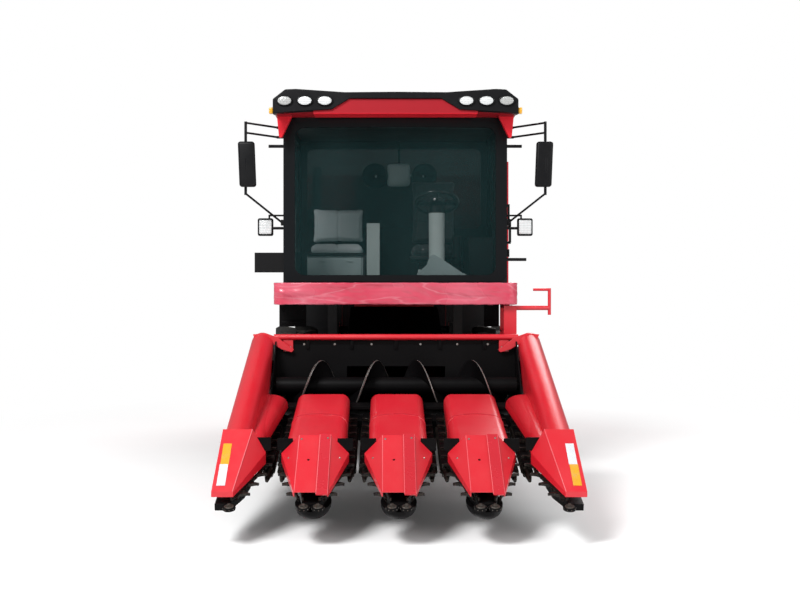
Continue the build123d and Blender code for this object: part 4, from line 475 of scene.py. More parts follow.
def axes(across, ahead, up):
    """The turn that lays X, Y and Z along three directions."""
    return Matrix((across, ahead, up)).transposed().to_4x4()


def strip(bm, centre, ahead, size):
    """A flat bar laid along a slope: its size across, along and thick."""
    place = Matrix.Translation(centre) @ axes(ACROSS, ahead, ACROSS.cross(ahead))
    bmesh.ops.create_cube(bm, size=1.0, matrix=place @ Matrix.Diagonal((*size, 1)))


def bolt(bm, place, direction, size=0.008):
    """A hexagon head on a washer."""
    place, direction = Vector(place), Vector(direction).normalized()
    rod(bm, place - direction * size * 0.3, place + direction * size * 0.18, size * 1.25, 12)
    rod(bm, place, place + direction * size * 0.8, size, 6, size * 0.92)


def closed_loop(bm, ring):
    """The edges that join vertices into a ring."""
    return [bm.edges.new(pair) for pair in zip(ring, ring[1:] + ring[:1])]


def lathe(bm, profile, centre, axis, steps):
    """Spins a closed profile of (along, out) pairs round an axis through a centre."""
    centre, axis = Vector(centre), Vector(axis).normalized()
    out = axis.orthogonal().normalized()
    ring = [bm.verts.new(centre + axis * along + out * r) for along, r in profile]
    bmesh.ops.spin(
        bm,
        geom=ring + closed_loop(bm, ring),
        cent=centre,
        axis=axis,
        dvec=(0, 0, 0),
        angle=math.tau,
        steps=steps,
        use_merge=True,
        use_duplicate=False,
    )


def skinned(bm, sections):
    """Joins closed sections one after the other and caps both ends."""
    rings = [[bm.verts.new(point) for point in section] for section in sections]
    for one, two in zip(rings, rings[1:]):
        for k in range(len(one)):
            bm.faces.new((one[k], one[k - 1], two[k - 1], two[k]))
    for end in (rings[0], rings[-1]):
        bm.faces.new(end)


def only_verts(geometry):
    """The vertices among what an operator gives back."""
    return [part for part in geometry if isinstance(part, bmesh.types.BMVert)]


def plate(bm, outline, thickness):
    """A flat outline pushed to the rear into a plate."""
    face = bm.faces.new([bm.verts.new(point) for point in outline])
    made = bmesh.ops.extrude_face_region(bm, geom=[face])
    bmesh.ops.translate(bm, verts=only_verts(made["geom"]), vec=(0, thickness, 0))


def cut_bar(cuts):
    """A unit bar along X in a bmesh of its own, cut across so that it can be bent."""
    bm = bmesh.new()
    bmesh.ops.create_cube(bm, size=1.0)
    lengthwise = [e for e in bm.edges if abs(e.verts[0].co.x - e.verts[1].co.x) > 0.5]
    bmesh.ops.subdivide_edges(bm, edges=lengthwise, cuts=cuts)
    return bm


def joined(bm, other):
    """Adds another bmesh to this one and frees it."""
    carrier = bpy.data.meshes.new("carrier")
    other.to_mesh(carrier)
    other.free()
    bm.from_mesh(carrier)
    bpy.data.meshes.remove(carrier)


def worked_out(block):
    """The mesh that an object's modifiers give."""
    return bpy.data.meshes.new_from_object(block.evaluated_get(bpy.context.evaluated_depsgraph_get()))


def in_cells(name, bm, cell):
    """An object whose skin is remade in even cells; frees the bmesh."""
    mesh = bpy.data.meshes.new(name)
    bm.to_mesh(mesh)
    bm.free()
    block = bpy.data.objects.new(name, mesh)
    bpy.context.scene.collection.objects.link(block)
    remesh = block.modifiers.new("cells", "REMESH")
    remesh.mode = "VOXEL"
    remesh.voxel_size = cell
    fine = worked_out(block)
    block.modifiers.clear()
    block.data = fine
    return block


def relaxed(block):
    """A bmesh of an object's skin, smoothed once; removes the object."""
    bm = bmesh.new()
    bm.from_mesh(block.data)
    bmesh.ops.smooth_vert(bm, verts=bm.verts, factor=0.5, use_axis_x=True, use_axis_y=True, use_axis_z=True)
    bpy.data.objects.remove(block)
    return bm


def spaced(first, last, pitch):
    """Even places along a line, about a pitch apart."""
    count = int((last - first).length // pitch)
    return [first + (last - first) * ((n + 0.5) / count) for n in range(count)]


def round_clock(count):
    """Cosine and sine of even angles round a circle."""
    return [(math.cos(math.tau * k / count), math.sin(math.tau * k / count)) for k in range(count)]


def middle(node):
    """The centre of a CAD node's box."""
    low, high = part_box(node)
    return (low + high) / 2


# Wheels

WHEELS = (
    # name, rim radius, tyre lugs, lug thickness, hub radius, nuts
    ("front", 0.305, 24, 0.05, 0.11, 8),
    ("rear", 0.196, 20, 0.034, 0.075, 6),
)
TREAD_FLOOR = 0.925  # share of the radius at the foot of the lugs
SHOULDER = 0.7  # share of a lug's length where it starts to drop
TYRE_SECTION = (
    # share of half width, share of height from bead to tread
    (0.80, 0.0),
    (0.86, 0.06),
    (0.97, 0.28),
    (1.0, 0.5),
    (0.97, 0.72),
    (0.86, 0.93),
    (0.6, 1.0),
    (0.3, 1.015),
)
BEAD_RINGS = ((0.985, 0.4), (0.955, 0.24))


def tread_lug(centre, half, radius, thick, side, start):
    """One curved lug, from the tread's middle out to a shoulder, where it drops."""
    lug = cut_bar(5)
    for v in lug.verts:
        along, tall = v.co.x + 0.5, v.co.z + 0.5
        drop = (max(0.0, along - SHOULDER) / (1 - SHOULDER)) ** 2 * radius
        foot = radius * TREAD_FLOOR * 0.98 - drop * 0.07
        top = radius - drop * 0.035
        reach = foot + tall * (top - foot)
        width = thick * (1.25 - 0.45 * tall) * (1.0 + 0.35 * along)
        sweep = (along - 0.45) * half * 0.95 - 0.02 * math.sin(along * 3.1)
        angle = start + (v.co.y * width - sweep) / radius
        x = side * half * (1.04 * along - 0.06)
        v.co = centre + Vector((x, -reach * math.sin(angle), reach * math.cos(angle)))
    return lug


def tyre_piece(node, rim_radius, lugs, lug_thick):
    """A farm tyre: round carcass, bead rings and curved chevron lugs."""
    low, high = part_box(node)
    centre = middle(node)
    half, radius = (high.x - low.x) / 2, (high.z - low.z) / 2
    height = radius * TREAD_FLOOR - rim_radius
    bm = bmesh.new()
    outer = [(share * half, rim_radius + rise * height) for share, rise in TYRE_SECTION]
    lathe(bm, outer + [(-x, r) for x, r in reversed(outer)], centre, ACROSS, 96)
    for share, rise in BEAD_RINGS:
        r = rim_radius + rise * height
        for side in SIDES:
            x = side * share * half
            ring = ((x - 0.006, r - 0.006), (x - 0.006, r + 0.006), (x + 0.005 * side, r))
            lathe(bm, ring, centre, ACROSS, 72)
    for k in range(lugs):
        side = 1 if k % 2 else -1
        joined(bm, tread_lug(centre, half, radius, lug_thick, side, math.tau * (k + 0.5) / lugs))
    as_piece(node + "_look", bm, body_of_node[node], rubber, (node,), 42)


def rim_pieces(node, rim_radius, hub_radius, nut_count):
    """A dished wheel: flanged rim, pressed disc with a raised ring, hub and nuts."""
    centre = middle(node)
    outward = ACROSS if centre.x > 0 else -ACROSS
    half = 0.416 * rim_radius
    disc, ring, lip = 0.03, 0.066, 0.012
    rim = (
        (-half, rim_radius),
        (-half - lip / 2, rim_radius + lip),
        (-half + lip, rim_radius + lip),
        (-half + 0.02, rim_radius - 0.004),
        (half - 0.02, rim_radius - 0.004),
        (half - lip, rim_radius + lip),
        (half + lip / 2, rim_radius + lip),
        (half, rim_radius),
        (half - 0.016, rim_radius - 0.016),
        (disc + 0.03, rim_radius - 0.05),
        (disc + 0.012, rim_radius * 0.72),
        (ring, rim_radius * 0.6),
        (ring, rim_radius * 0.46),
        (disc + 0.01, hub_radius * 1.1),
        (disc + 0.01, hub_radius * 0.5),
        (disc - 0.004, hub_radius * 0.5),
        (disc - 0.004, rim_radius * 0.72),
        (disc + 0.01, rim_radius - 0.06),
        (-half + 0.016, rim_radius - 0.016),
    )
    hub = (
        (-0.056, 0.62),
        (-0.056, 0.95),
        (0.036, 1.0),
        (0.05, 0.82),
        (0.078, 0.6),
        (0.086, 0.4),
        (0.086, 0.05),
        (0.04, 0.05),
        (0.04, 0.62),
    )
    bm = bmesh.new()
    lathe(bm, rim, centre, outward, 72)
    lathe(bm, [(along, share * hub_radius) for along, share in hub], centre, outward, 40)
    nuts = bmesh.new()
    pitch_radius = rim_radius * 0.53
    for across, rise in round_clock(nut_count):
        bolt(nuts, centre + outward * ring + Vector((0, across, rise)) * pitch_radius, outward, 0.016)
    rod(nuts, centre + outward * 0.08, centre + outward * 0.094, hub_radius * 0.32, 6)
    as_piece(node + "_nuts", nuts, body_of_node[node], steel, (), 34)
    as_piece(node + "_look", bm, body_of_node[node], wheel_cream, (node,), 34)


for side in ("left", "right"):
    for end, rim_radius, lugs, lug_thick, hub_radius, nut_count in WHEELS:
        tyre_piece(f"{end}_tyre_{side}", rim_radius, lugs, lug_thick)
        rim_pieces(f"{end}_rim_{side}", rim_radius, hub_radius, nut_count)


# Header auger

AUGER = Vector((0, -1.95, 0.87))
TUBE_R, FLIGHT_R = 0.07, 0.205
TUBE_END, STUB_END = 0.955, 0.984
FLIGHT_START, FLIGHT_RUN, FLIGHT_TURNS, FLIGHT_STEPS = 0.93, 0.88, 2, 96


def wound(bm, ring, edges, start, side):
    """Winds a profile round the auger from a side inwards; gives its last vertices."""
    made = bmesh.ops.spin(
        bm,
        geom=ring + edges,
        cent=start,
        axis=ACROSS,
        dvec=(-side * FLIGHT_RUN / FLIGHT_STEPS, 0, 0),
        angle=-math.tau * FLIGHT_TURNS,
        steps=FLIGHT_STEPS,
        use_merge=False,
        use_duplicate=False,
    )
    return only_verts(made["geom_last"])


def auger_pieces():
    """The auger's tube and stubs, with flights that feed to the middle, and their worn rims."""
    bm, rims = bmesh.new(), bmesh.new()
    half_tube = ((-TUBE_END, 0.03), (-TUBE_END, TUBE_R - 0.004), (0.005 - TUBE_END, TUBE_R))
    lathe(bm, half_tube + tuple((-x, r) for x, r in reversed(half_tube)), AUGER, ACROSS, 48)
    rod(bm, AUGER - ACROSS * STUB_END, AUGER + ACROSS * STUB_END, 0.034, 24)
    for side in SIDES:
        start = AUGER + ACROSS * side * FLIGHT_START
        before = set(bm.faces)
        line = [bm.verts.new(start + Vector((0, r, 0))) for r in (TUBE_R - 0.004, 0.12, FLIGHT_R)]
        wound(bm, line, [bm.edges.new(pair) for pair in zip(line, line[1:])], start, side)
        blade = [f for f in bm.faces if f not in before]
        bmesh.ops.recalc_face_normals(bm, faces=blade)
        bmesh.ops.solidify(bm, geom=blade, thickness=0.005)
        bead = ((-0.004, FLIGHT_R - 0.005), (0.009, FLIGHT_R - 0.005), (0.0025, FLIGHT_R + 0.0005))
        ring = [rims.verts.new(start + Vector((along, r, 0))) for along, r in bead]
        last = wound(rims, ring, closed_loop(rims, ring), start, side)
        rims.faces.new(ring)
        rims.faces.new(last)
    as_piece("flight_rims", rims, "header_auger", steel, (), 50)
    as_piece("header_auger_look", bm, "header_auger", matt_black, ("header_auger",), 34)


auger_pieces()


# CAD forms kept as they are, with softened edges and finishes

ROLLS = [f"snapping_roll_{row}_{side}" for row in range(1, 5) for side in ("right", "left")]
DRESS = (
    # material slot, finish, edge width, nodes
    ("frame_paint", underbody, 0.004, "chassis_frame front_axle rear_axle knuckle_left knuckle_right"),
    ("frame_paint", underbody, 0.003, "chopper_housing"),
    ("bare_steel", steel, 0.002, "tie_rod"),
    ("bare_steel", steel, 0.001, "chopper_rotor"),
    ("bare_steel", lug_steel, 0.002, " ".join(ROLLS)),
    ("engine_iron", iron, 0.01, "engine_block"),
    ("exhaust_steel", sooty, 0.002, "exhaust_pipe"),
    ("red_paint", red, 0.004, "husker_housing divider_snouts"),
    ("red_paint", red, 0.003, "elevator boarding_ladder ear_bin"),
    ("red_paint", red, 0.0025, "divider_hoods"),
    ("red_paint", red, 0.002, "top_bar"),
    ("red_paint", cover_paint, 0.004, "engine_cover"),
    ("red_paint", roof_paint, 0.008, "cab_roof"),
    ("black_paint", cab_paint, 0.003, "cab_frame"),
    ("black_paint", black, 0.003, "cab_floor door_frame"),
    ("black_paint", black, 0.002, "lift_barrels bin_barrels"),
    ("black_paint", matt_black, 0.004, "header_frame feeder_house"),
    ("black_paint", matt_black, 0.002, "auger_trough row_units"),
    ("black_plastic", plastic, 0.02, "fuel_tank"),
    ("black_plastic", plastic, 0.008, "roof_visor"),
    ("cab_plastic", column_plastic, 0.006, "steering_column"),
    ("chrome_rod", chrome, 0.001, "lift_rods bin_rods"),
    ("tinted_glass", screen_glass, 0, "cab_glass"),
    ("tinted_glass", door_pane, 0, "door_glass"),
)
for slot, finish, width, nodes in DRESS:
    for node in nodes.split():
        dressed(node, finish, width)


# Header: chains, idlers, shoes, snout trim, hood sheets and guards

ROW = 0.56
DIVIDERS = tuple(ROW * k for k in range(-2, 3))
MIDDLES = DIVIDERS[1:4]
CHAIN_SIDES = [(x, side) for x in DIVIDERS for side in SIDES if abs(x + side * ROW / 2) < DIVIDERS[-1]]
DECK_TURN = math.radians(15.3)
DECK_FOOT = Vector((0, -3.74, 0.3))
DECK_AHEAD = Vector((0, math.cos(DECK_TURN), math.sin(DECK_TURN)))
DECK_UP = ACROSS.cross(DECK_AHEAD)
# corners of a chain's runs: out from the divider's middle, along the deck
CHAIN_OUTER = ((0.079, 0.022), (0.199, 0.472), (0.199, 1.44))
CHAIN_INNER = ((0.142, 1.44), (0.123, 0.51), (0.053, 0.03))
LINK_PITCH, LUG_PITCH, LUG_REACH = 0.044, 0.132, 0.063
SNOUT_Y, SNOUT_Z = -3.74, 0.35
RIDGE_RISE = Vector((0, 0.45, 0.3))
END_RISE = Vector((0, 0.45, 0.34))
HOOD_Y, HOOD_TOP, HOOD_SLOPE = -3.284, 0.612, 0.2088
BAR_Y = -1.7


def on_deck(x, along, above=0.0):
    """A point of the header's sloping deck plane."""
    return DECK_FOOT + ACROSS * x + DECK_AHEAD * along + DECK_UP * above


def hood_top(y):
    """The height of the middle hoods' sloping tops."""
    return HOOD_TOP + (y - HOOD_Y) * HOOD_SLOPE


def chain_link(bm, place, turn, wide):
    """Two oval side plates and their roller."""
    flat = Matrix.Diagonal((wide, 0.05, 0.003, 1))
    for level in (-0.0215, -0.0045):
        spot = Matrix.Translation(place) @ turn @ Matrix.Translation((0, 0, level))
        bmesh.ops.create_cone(
            bm, cap_ends=True, segments=8, radius1=0.5, radius2=0.5, depth=1.0, matrix=spot @ flat
        )
    rod(bm, place + turn @ Vector((0, 0.02, -0.024)), place + turn @ Vector((0, 0.02, 0.0)), 0.008, 8)


def chain_lug(bm, place, turn):
    """A curved gathering finger, thick at its root and swept back at its tip."""
    lug = cut_bar(4)
    for v in lug.verts:
        out = v.co.x + 0.5
        wide = 0.034 * (1 - out) ** 1.5 + 0.011
        sweep = 0.024 * math.sin(out * 1.9) - 0.006
        thick = 0.022 - 0.006 * out
        bent = Vector((LUG_REACH * (out * 1.05 - 0.05), v.co.y * wide + sweep, v.co.z * thick - 0.011))
        v.co = place + turn @ bent
    joined(bm, lug)


def chain_pieces():
    """The links of the gathering chains, with lugs on their outer runs."""
    links, lugs = bmesh.new(), bmesh.new()
    for middle_x, side in CHAIN_SIDES:
        for run, lugged in ((CHAIN_OUTER, True), (CHAIN_INNER, False)):
            corners = [on_deck(middle_x + side * out, along) for out, along in run]
            for first, last in zip(corners, corners[1:]):
                ahead = (last - first).normalized()
                turn = axes(ahead.cross(DECK_UP).normalized(), ahead, DECK_UP)
                for n, place in enumerate(spaced(first, last, LINK_PITCH)):
                    chain_link(links, place, turn, 0.02 if n % 2 else 0.016)
                if lugged:
                    outward = turn @ Matrix.Scale(side, 4, ACROSS)
                    for place in spaced(first, last, LUG_PITCH):
                        chain_lug(lugs, place, outward)
    replaced = ("gathering_chains",)
    as_piece("gathering_chain_links", links, "header", chain_steel, replaced, 40)
    as_piece("gathering_chain_lugs", lugs, "header", lug_steel, (), 40)


def idler_piece():
    """Toothed tip idlers with their bolts."""
    bm = bmesh.new()
    half_disc = ((0.013, 0.012), (0.013, 0.028), (0.006, 0.0345))
    disc = [(-rise, r) for rise, r in half_disc] + list(reversed(half_disc))
    for middle_x, side in CHAIN_SIDES:
        spot = on_deck(middle_x + side * 0.046, -0.0315, -0.042)
        lathe(bm, disc, spot, DECK_UP, 28)
        rod(bm, spot - DECK_UP * 0.016, spot + DECK_UP * 0.018, 0.017, 16)
        bolt(bm, spot + DECK_UP * 0.018, DECK_UP, 0.012)
        for across, along in round_clock(9):
            out = ACROSS * across + DECK_AHEAD * along
            rod(bm, spot + out * 0.032, spot + out * 0.043, 0.007, 6, 0.003)
    as_piece("tip_idlers", bm, "header", rusty, (), 36)


def shoe_piece():
    """Pressed bullet shoes, round below, whose tops follow the undersides of the carriers."""
    middle_y, half_length, half_width, depth, ground = -3.483, 0.282, 0.119, 0.088, 0.151
    nose_y, nose_z, kick_y = -3.781, 0.2234, -3.385
    bm = bmesh.new()
    for x in MIDDLES:
        shoe = bmesh.new()
        bmesh.ops.create_uvsphere(shoe, u_segments=40, v_segments=24, radius=1.0)
        for v in shoe.verts:
            y = middle_y + half_length * v.co.y
            carrier = nose_z + (y - nose_y) * 0.0537 + max(0.0, y - kick_y) * 0.22
            bowl = depth * abs(min(0.0, v.co.z)) ** 0.8
            v.co = Vector((x + half_width * v.co.x, y, max(ground, carrier - bowl)))
        joined(bm, shoe)
    as_piece("skid_shoes_look", bm, "header", matt_black, ("skid_shoes",), 50)


def snout_trim_pieces():
    """Cover strips, pale rods along the folded edges as painted highlights, fixings and reflective tape on
    the snouts.
    """
    cover, fold, fixing = bmesh.new(), bmesh.new(), bmesh.new()
    yellow, white = bmesh.new(), bmesh.new()
    ahead = RIDGE_RISE.normalized()
    up = ACROSS.cross(ahead)
    for x in MIDDLES:
        tip = Vector((x, SNOUT_Y, SNOUT_Z))
        strip(cover, tip + ACROSS * 0.07 + ahead * 0.2535 + up * 0.0075, ahead, (0.073, 0.577, 0.003))
        # pale rods along the ridge's folded edges: painted highlights
        for out, first, lift in ((-0.106, 0.004, 0.0), (0.034, -0.03, 0.008), (0.106, -0.03, 0.007)):
            edge = tip + ACROSS * out + up * lift
            rod(fold, edge + ahead * first, edge + ahead * 0.538, 0.0022, 8)
        for out, lift in ((-0.088, 0.001), (0.088, 0.009)):
            bolt(fixing, tip + ACROSS * out + ahead * 0.5 + up * lift, up, 0.006)
        for side in SIDES:
            bolt(fixing, (x + side * 0.17, -3.4, 0.512), (side, 0, 1), 0.006)
    ahead = END_RISE.normalized()
    up = ACROSS.cross(ahead)
    for side in SIDES:
        tapes = (yellow, white) if side > 0 else (white, yellow)
        for tape, (first, last) in zip(tapes, ((0.09, 0.42), (0.42, 0.755))):
            share = (first + last) / 2
            foot = Vector((side * (1.1385 - 0.01 * share), SNOUT_Y, SNOUT_Z))
            size = (0.055, END_RISE.length * (last - first), 0.003)
            strip(tape, foot + END_RISE * share + up * 0.001, ahead, size)
        tip = Vector((side * 1.056, SNOUT_Y, SNOUT_Z))
        # a pale rod up the end snout's folded edge: a painted highlight
        rod(fold, tip, tip + END_RISE - ACROSS * side * 0.074, 0.0024, 8)
        for y, z in ((-3.33, 0.6), (-3.45, 0.5)):
            bolt(fixing, (side * 1.184, y, z), (side, 0, 0), 0.007)
    as_piece("ridge_covers", cover, "header", cover_red_and_seam_shade)
    as_piece("snout_fold_highlights", fold, "header", red_edge_highlight)
    as_piece("snout_fixings", fixing, "header", steel)
    as_piece("yellow_tapes", yellow, "header", yellow_tape)
    as_piece("white_tapes", white, "header", white_tape)


def hood_seam_piece():
    """The lapped joint across each middle hood, bowed to the rear, between its two sheets, in a deeper red
    as painted shade.
    """
    seam, bow, lap = -2.8, 0.07, 0.014
    half, corner, leg = 0.2, 0.062, 0.2
    top = hood_top(seam)
    # one half of the way across: x, z, and the direction out of the sheet
    path = [(half, top - leg, 1.0, 0.0)]
    for k in range(9):
        out, up = math.cos(math.pi / 2 * k / 8), math.sin(math.pi / 2 * k / 8)
        path.append((half - corner + corner * out, top - corner + corner * up, out, up))
    path += [((half - corner) * (1 - k / 6), top, 0.0, 1.0) for k in range(1, 6)]
    path += [(-x, z, -out, up) for x, z, out, up in reversed(path)]
    bm = bmesh.new()
    for middle_x in MIDDLES:
        sections = []
        for x, z, out, up in path:
            front = seam + bow * (1 - (x / half) ** 2)
            corners = ((0.003, front), (0.003, front + lap), (-0.002, front + lap), (-0.002, front))
            sections.append([
                (middle_x + x + out * lift, y, z + up * lift + (y - seam) * HOOD_SLOPE)
                for lift, y in corners
            ])
        skinned(bm, sections)
    # the lap strip takes the deeper red as painted shade along the seam
    as_piece("hood_seams", bm, "header", cover_red_and_seam_shade, (), 40)


def half_hood_piece():
    """The rounded inner hoods of the end dividers, which widen to the rear."""
    outer, height, bends = 1.0, 0.1, 10
    bm = bmesh.new()
    for side in SIDES:
        sections = []
        for y, inner in ((-3.2, 0.93), (-2.235, 0.835), (-2.225, 0.845)):
            foot = hood_top(y) - 0.006 - height
            section = []
            for k in range(bends + 1):
                bend = math.pi / 2 * k / bends
                x = outer - (outer - inner) * math.sin(bend) ** 0.7
                section.append((side * x, y, foot + height * math.cos(bend) ** 0.7))
            sections.append(section + [(side * outer, y, foot)])
        skinned(bm, sections)
    as_piece("inner_half_hoods", bm, "header", red, (), 40)


def guard_piece():
    """Black guard plates beside the hood fronts."""
    front, rear, edge = -3.287, -3.282, 0.0018
    bm = bmesh.new()
    for side in SIDES:
        for x in MIDDLES:
            slab(bm, (x + side * 0.15, front, 0.545), (x + side * 0.256, rear, 0.628), edge)
            slab(bm, (x + side * 0.2, -3.285, 0.53), (x + side * 0.206, -3.2, 0.6), edge)
        slab(bm, (side * 0.858, front, 0.545), (side * 0.96, rear, 0.635), edge)
    as_piece("hood_guards", bm, "header", matt_black)


def header_bolt_piece():
    """Bolts along the end sheets, on the bar's end plates and on the back sheet."""
    bm = bmesh.new()
    for side in SIDES:
        for k in range(7):
            y = -3.1 + 0.21 * k
            bolt(bm, (side * 1.1815, y, 0.5 + (y + 3.29) * 0.18), (side, 0, 0))
        for x in (0.862, 0.9):
            for z in (1.142, 1.165):
                bolt(bm, (side * x, BAR_Y - 0.015, z), (0, -1, 0), 0.007)
        for x in (0.2, 0.5, 0.75):
            bolt(bm, (side * x, BAR_Y + 0.001, 1.19), (0, -1, 0), 0.007)
    as_piece("header_bolts", bm, "header", steel)


def sheet_flange_piece():
    """The folded flange of the back sheet, up to the bar, with its clips."""
    bm = bmesh.new()
    slab(bm, (-0.975, BAR_Y, 1.19), (0.975, BAR_Y + 0.016, 1.238), 0.002)
    for k in range(-2, 3):
        x = 0.36 * k
        slab(bm, (x - 0.012, BAR_Y - 0.012, 1.15), (x + 0.012, BAR_Y + 0.005, 1.232), 0.003)
    as_piece("back_sheet_flange", bm, "header", matt_black)


def bar_plate_piece():
    """Flat curved plates from the hood tops to the back sheet under the bar's ends."""
    outline = (
        (1.165, 1.272), (1.06, 1.282), (0.96, 1.246), (0.88, 1.182), (0.83, 1.15),
        (0.85, 1.126), (0.93, 1.15), (1.04, 1.215), (1.15, 1.236),
    )
    bm = bmesh.new()
    for side in SIDES:
        plate(bm, [(side * x, BAR_Y - 0.042, z) for x, z in outline], 0.008)
    softened(as_piece("bar_end_plates", bm, "header", red), 0.002)


chain_pieces()
idler_piece()
shoe_piece()
snout_trim_pieces()
hood_seam_piece()
half_hood_piece()
guard_piece()
header_bolt_piece()
sheet_flange_piece()
bar_plate_piece()


# Cab fittings

FLOOR_Z = 1.62
MIRROR_Y, MIRROR_Z = (-1.3, -1.244), (2.515, 2.905)


def steering_wheel_piece():
    """A thick rim, three spokes and a boss, laid over the wheel's form."""
    rim_r, grip_r = 0.19, 0.017
    axis = Vector((0, 0.5, 1)).normalized()
    centre = Vector((0.38, -0.656, 2.42)) + axis * 0.014
    bm = bmesh.new()
    grip = [(grip_r * rise, rim_r + grip_r * out) for out, rise in round_clock(14)]
    lathe(bm, grip, centre, axis, 56)
    boss = ((-0.02, 0.004), (-0.02, 0.072), (0.01, 0.076), (0.026, 0.06), (0.03, 0.03), (0.03, 0.004))
    lathe(bm, boss, centre, axis, 32)
    for spoke in (ACROSS, -ACROSS, -axis.cross(ACROSS)):
        rod(bm, centre + spoke * 0.05, centre + spoke * 0.188, 0.013, 10, 0.011)
    as_piece("steering_wheel", bm, "machine", film_black, (), 50)


def column_foot_piece():
    """The pale pressed wedge round the column's foot."""
    outline = (
        (0.2, 1.622), (0.64, 1.622), (0.64, 1.775), (0.6, 1.79), (0.44, 1.9),
        (0.345, 1.955), (0.315, 1.94), (0.285, 1.86), (0.2, 1.79),
    )
    bm = bmesh.new()
    plate(bm, [(x, -0.86, z) for x, z in outline], 0.2)
    softened(as_piece("column_foot", bm, "machine", cab_plastic), 0.012, 3)


def lever_boot_piece():
    """The gear lever's folded boot and knob."""
    boot = [(0.0, 0.004), (0.0, 0.085)]
    for k in range(9):
        z, r = 0.02 + 0.034 * k, 0.078 - 0.0045 * k
        boot += [(z, r), (z + 0.014, r + 0.012), (z + 0.026, r - 0.004)]
    knob = [(0.335, 0.037), (0.4, 0.0355), (0.44, 0.038), (0.49, 0.044), (0.508, 0.036), (0.512, 0.004)]
    bm = bmesh.new()
    lathe(bm, boot + knob, (0.56, -0.68, FLOOR_Z), UP, 36)
    as_piece("lever_boot", bm, "machine", plastic, (), 60)


def fan_pieces():
    """A fan unit hung from the roof: pale housing and two round dark fans."""
    hanger_x, hub_z = 0.05, 2.77
    cage = (
        (-0.03, 0.02), (-0.03, 0.1), (0.0, 0.128), (0.03, 0.128),
        (0.036, 0.116), (0.02, 0.1), (0.01, 0.03), (0.016, 0.02),
    )
    shell, fans = bmesh.new(), bmesh.new()
    rod(fans, (hanger_x, 0.3, 3.15), (hanger_x, 0.3, 2.88), 0.01)
    slab(shell, (-0.07, 0.24, 2.67), (0.16, 0.33, 2.9), 0.04, 4)
    for x in (-0.19, 0.3):
        lathe(fans, cage, (x, 0.28, hub_z), (0, -1, 0), 40)
        rod(shell, (x, 0.29, hub_z), (hanger_x, 0.29, hub_z + 0.02), 0.012)
        hub = Vector((x, 0.255, hub_z))
        for across, rise in round_clock(10):
            out = Vector((across, 0, rise))
            rod(fans, hub + out * 0.02, hub + out * 0.118, 0.003, 6)
    as_piece("fan_housing", shell, "machine", cab_plastic, (), 40)
    as_piece("cab_fans", fans, "machine", plastic, (), 40)


def headliner_piece():
    """The cab's dark ceiling board, with a lamp strip and two vents."""
    bm = bmesh.new()
    slab(bm, (-0.925, -0.99, 3.132), (0.925, 0.42, 3.149), 0.004)
    slab(bm, (-0.3, -0.9, 3.118), (0.3, -0.72, 3.135), 0.006)
    vent = ((-0.004, 0.01), (-0.004, 0.06), (0.012, 0.056), (0.012, 0.01))
    for side in SIDES:
        lathe(bm, vent, (side * 0.55, -0.8, 3.134), -UP, 28)
    as_piece("headliner", bm, "machine", dark_cab, (), 40)


def mirror_pieces():
    """The mirror arms as they are, with rounded heads for the plain ones, and mirror faces behind."""
    (front, rear), (foot, top) = MIRROR_Y, MIRROR_Z
    slack = 0.0005
    low = Vector((1.224, front, foot)) - Vector((slack,) * 3)
    high = Vector((1.35, rear, top)) + Vector((slack,) * 3)
    bm = node_mesh("mirrors")
    plain = []
    for face in bm.faces:
        corners = [Vector((abs(v.co.x), v.co.y, v.co.z)) for v in face.verts]
        if all(low[k] < corner[k] < high[k] for corner in corners for k in range(3)):
            plain.append(face)
    bmesh.ops.delete(bm, geom=plain, context="FACES")
    bmesh.ops.holes_fill(bm, edges=[e for e in bm.edges if e.is_boundary], sides=0)
    faces = bmesh.new()
    for side in SIDES:
        head = bmesh.new()
        slab(head, (side * 1.198, front, foot), (side * 1.342, rear, top), 0.024, 5)
        for v in head.verts:
            v.co.x += side * (v.co.z - (foot + top) / 2) * 0.04
        joined(bm, head)
        rod(bm, (side * 1.286, -1.272, 2.66), (side * 1.286, -1.272, 2.76), 0.03)
        slab(faces, (side * 1.236, rear - 0.002, 2.53), (side * 1.338, rear + 0.0015, 2.89), 0.0015)
    as_piece("mirrors_look", bm, "machine", plastic, ("mirrors",), 40)
    as_piece("mirror_faces", faces, "machine", chrome)


steering_wheel_piece()
column_foot_piece()
lever_boot_piece()
fan_pieces()
headliner_piece()
mirror_pieces()


# Fittings of the body

COVER_X, COVER_Z = 1.0, (1.18, 1.735)
HUSKER_X, ELEVATOR_X, RAIL_X = 0.96, 0.418, 0.61
ELEVATOR_BOLTS = (
    (0.74, 1.64), (0.83, 1.64), (0.98, 2.36), (1.08, 2.36),
    (1.1, 2.52), (1.8, 2.52), (1.8, 2.68), (1.1, 2.75),
)
EXHAUST = Vector((-0.82, 1.09, 0))
TREADS_Z = tuple(0.598 + 0.23 * k for k in range(4))


def handle(bm, grip_x, foot_x, past, y, heights, radius, sides):
    """An upright grip on two stubs, which reach a little past it."""
    low, high = heights
    rod(bm, (grip_x, y, low), (grip_x, y, high), radius, sides)
    for z in heights:
        rod(bm, (foot_x, y, z), (grip_x + past, y, z), radius + 0.001, sides)


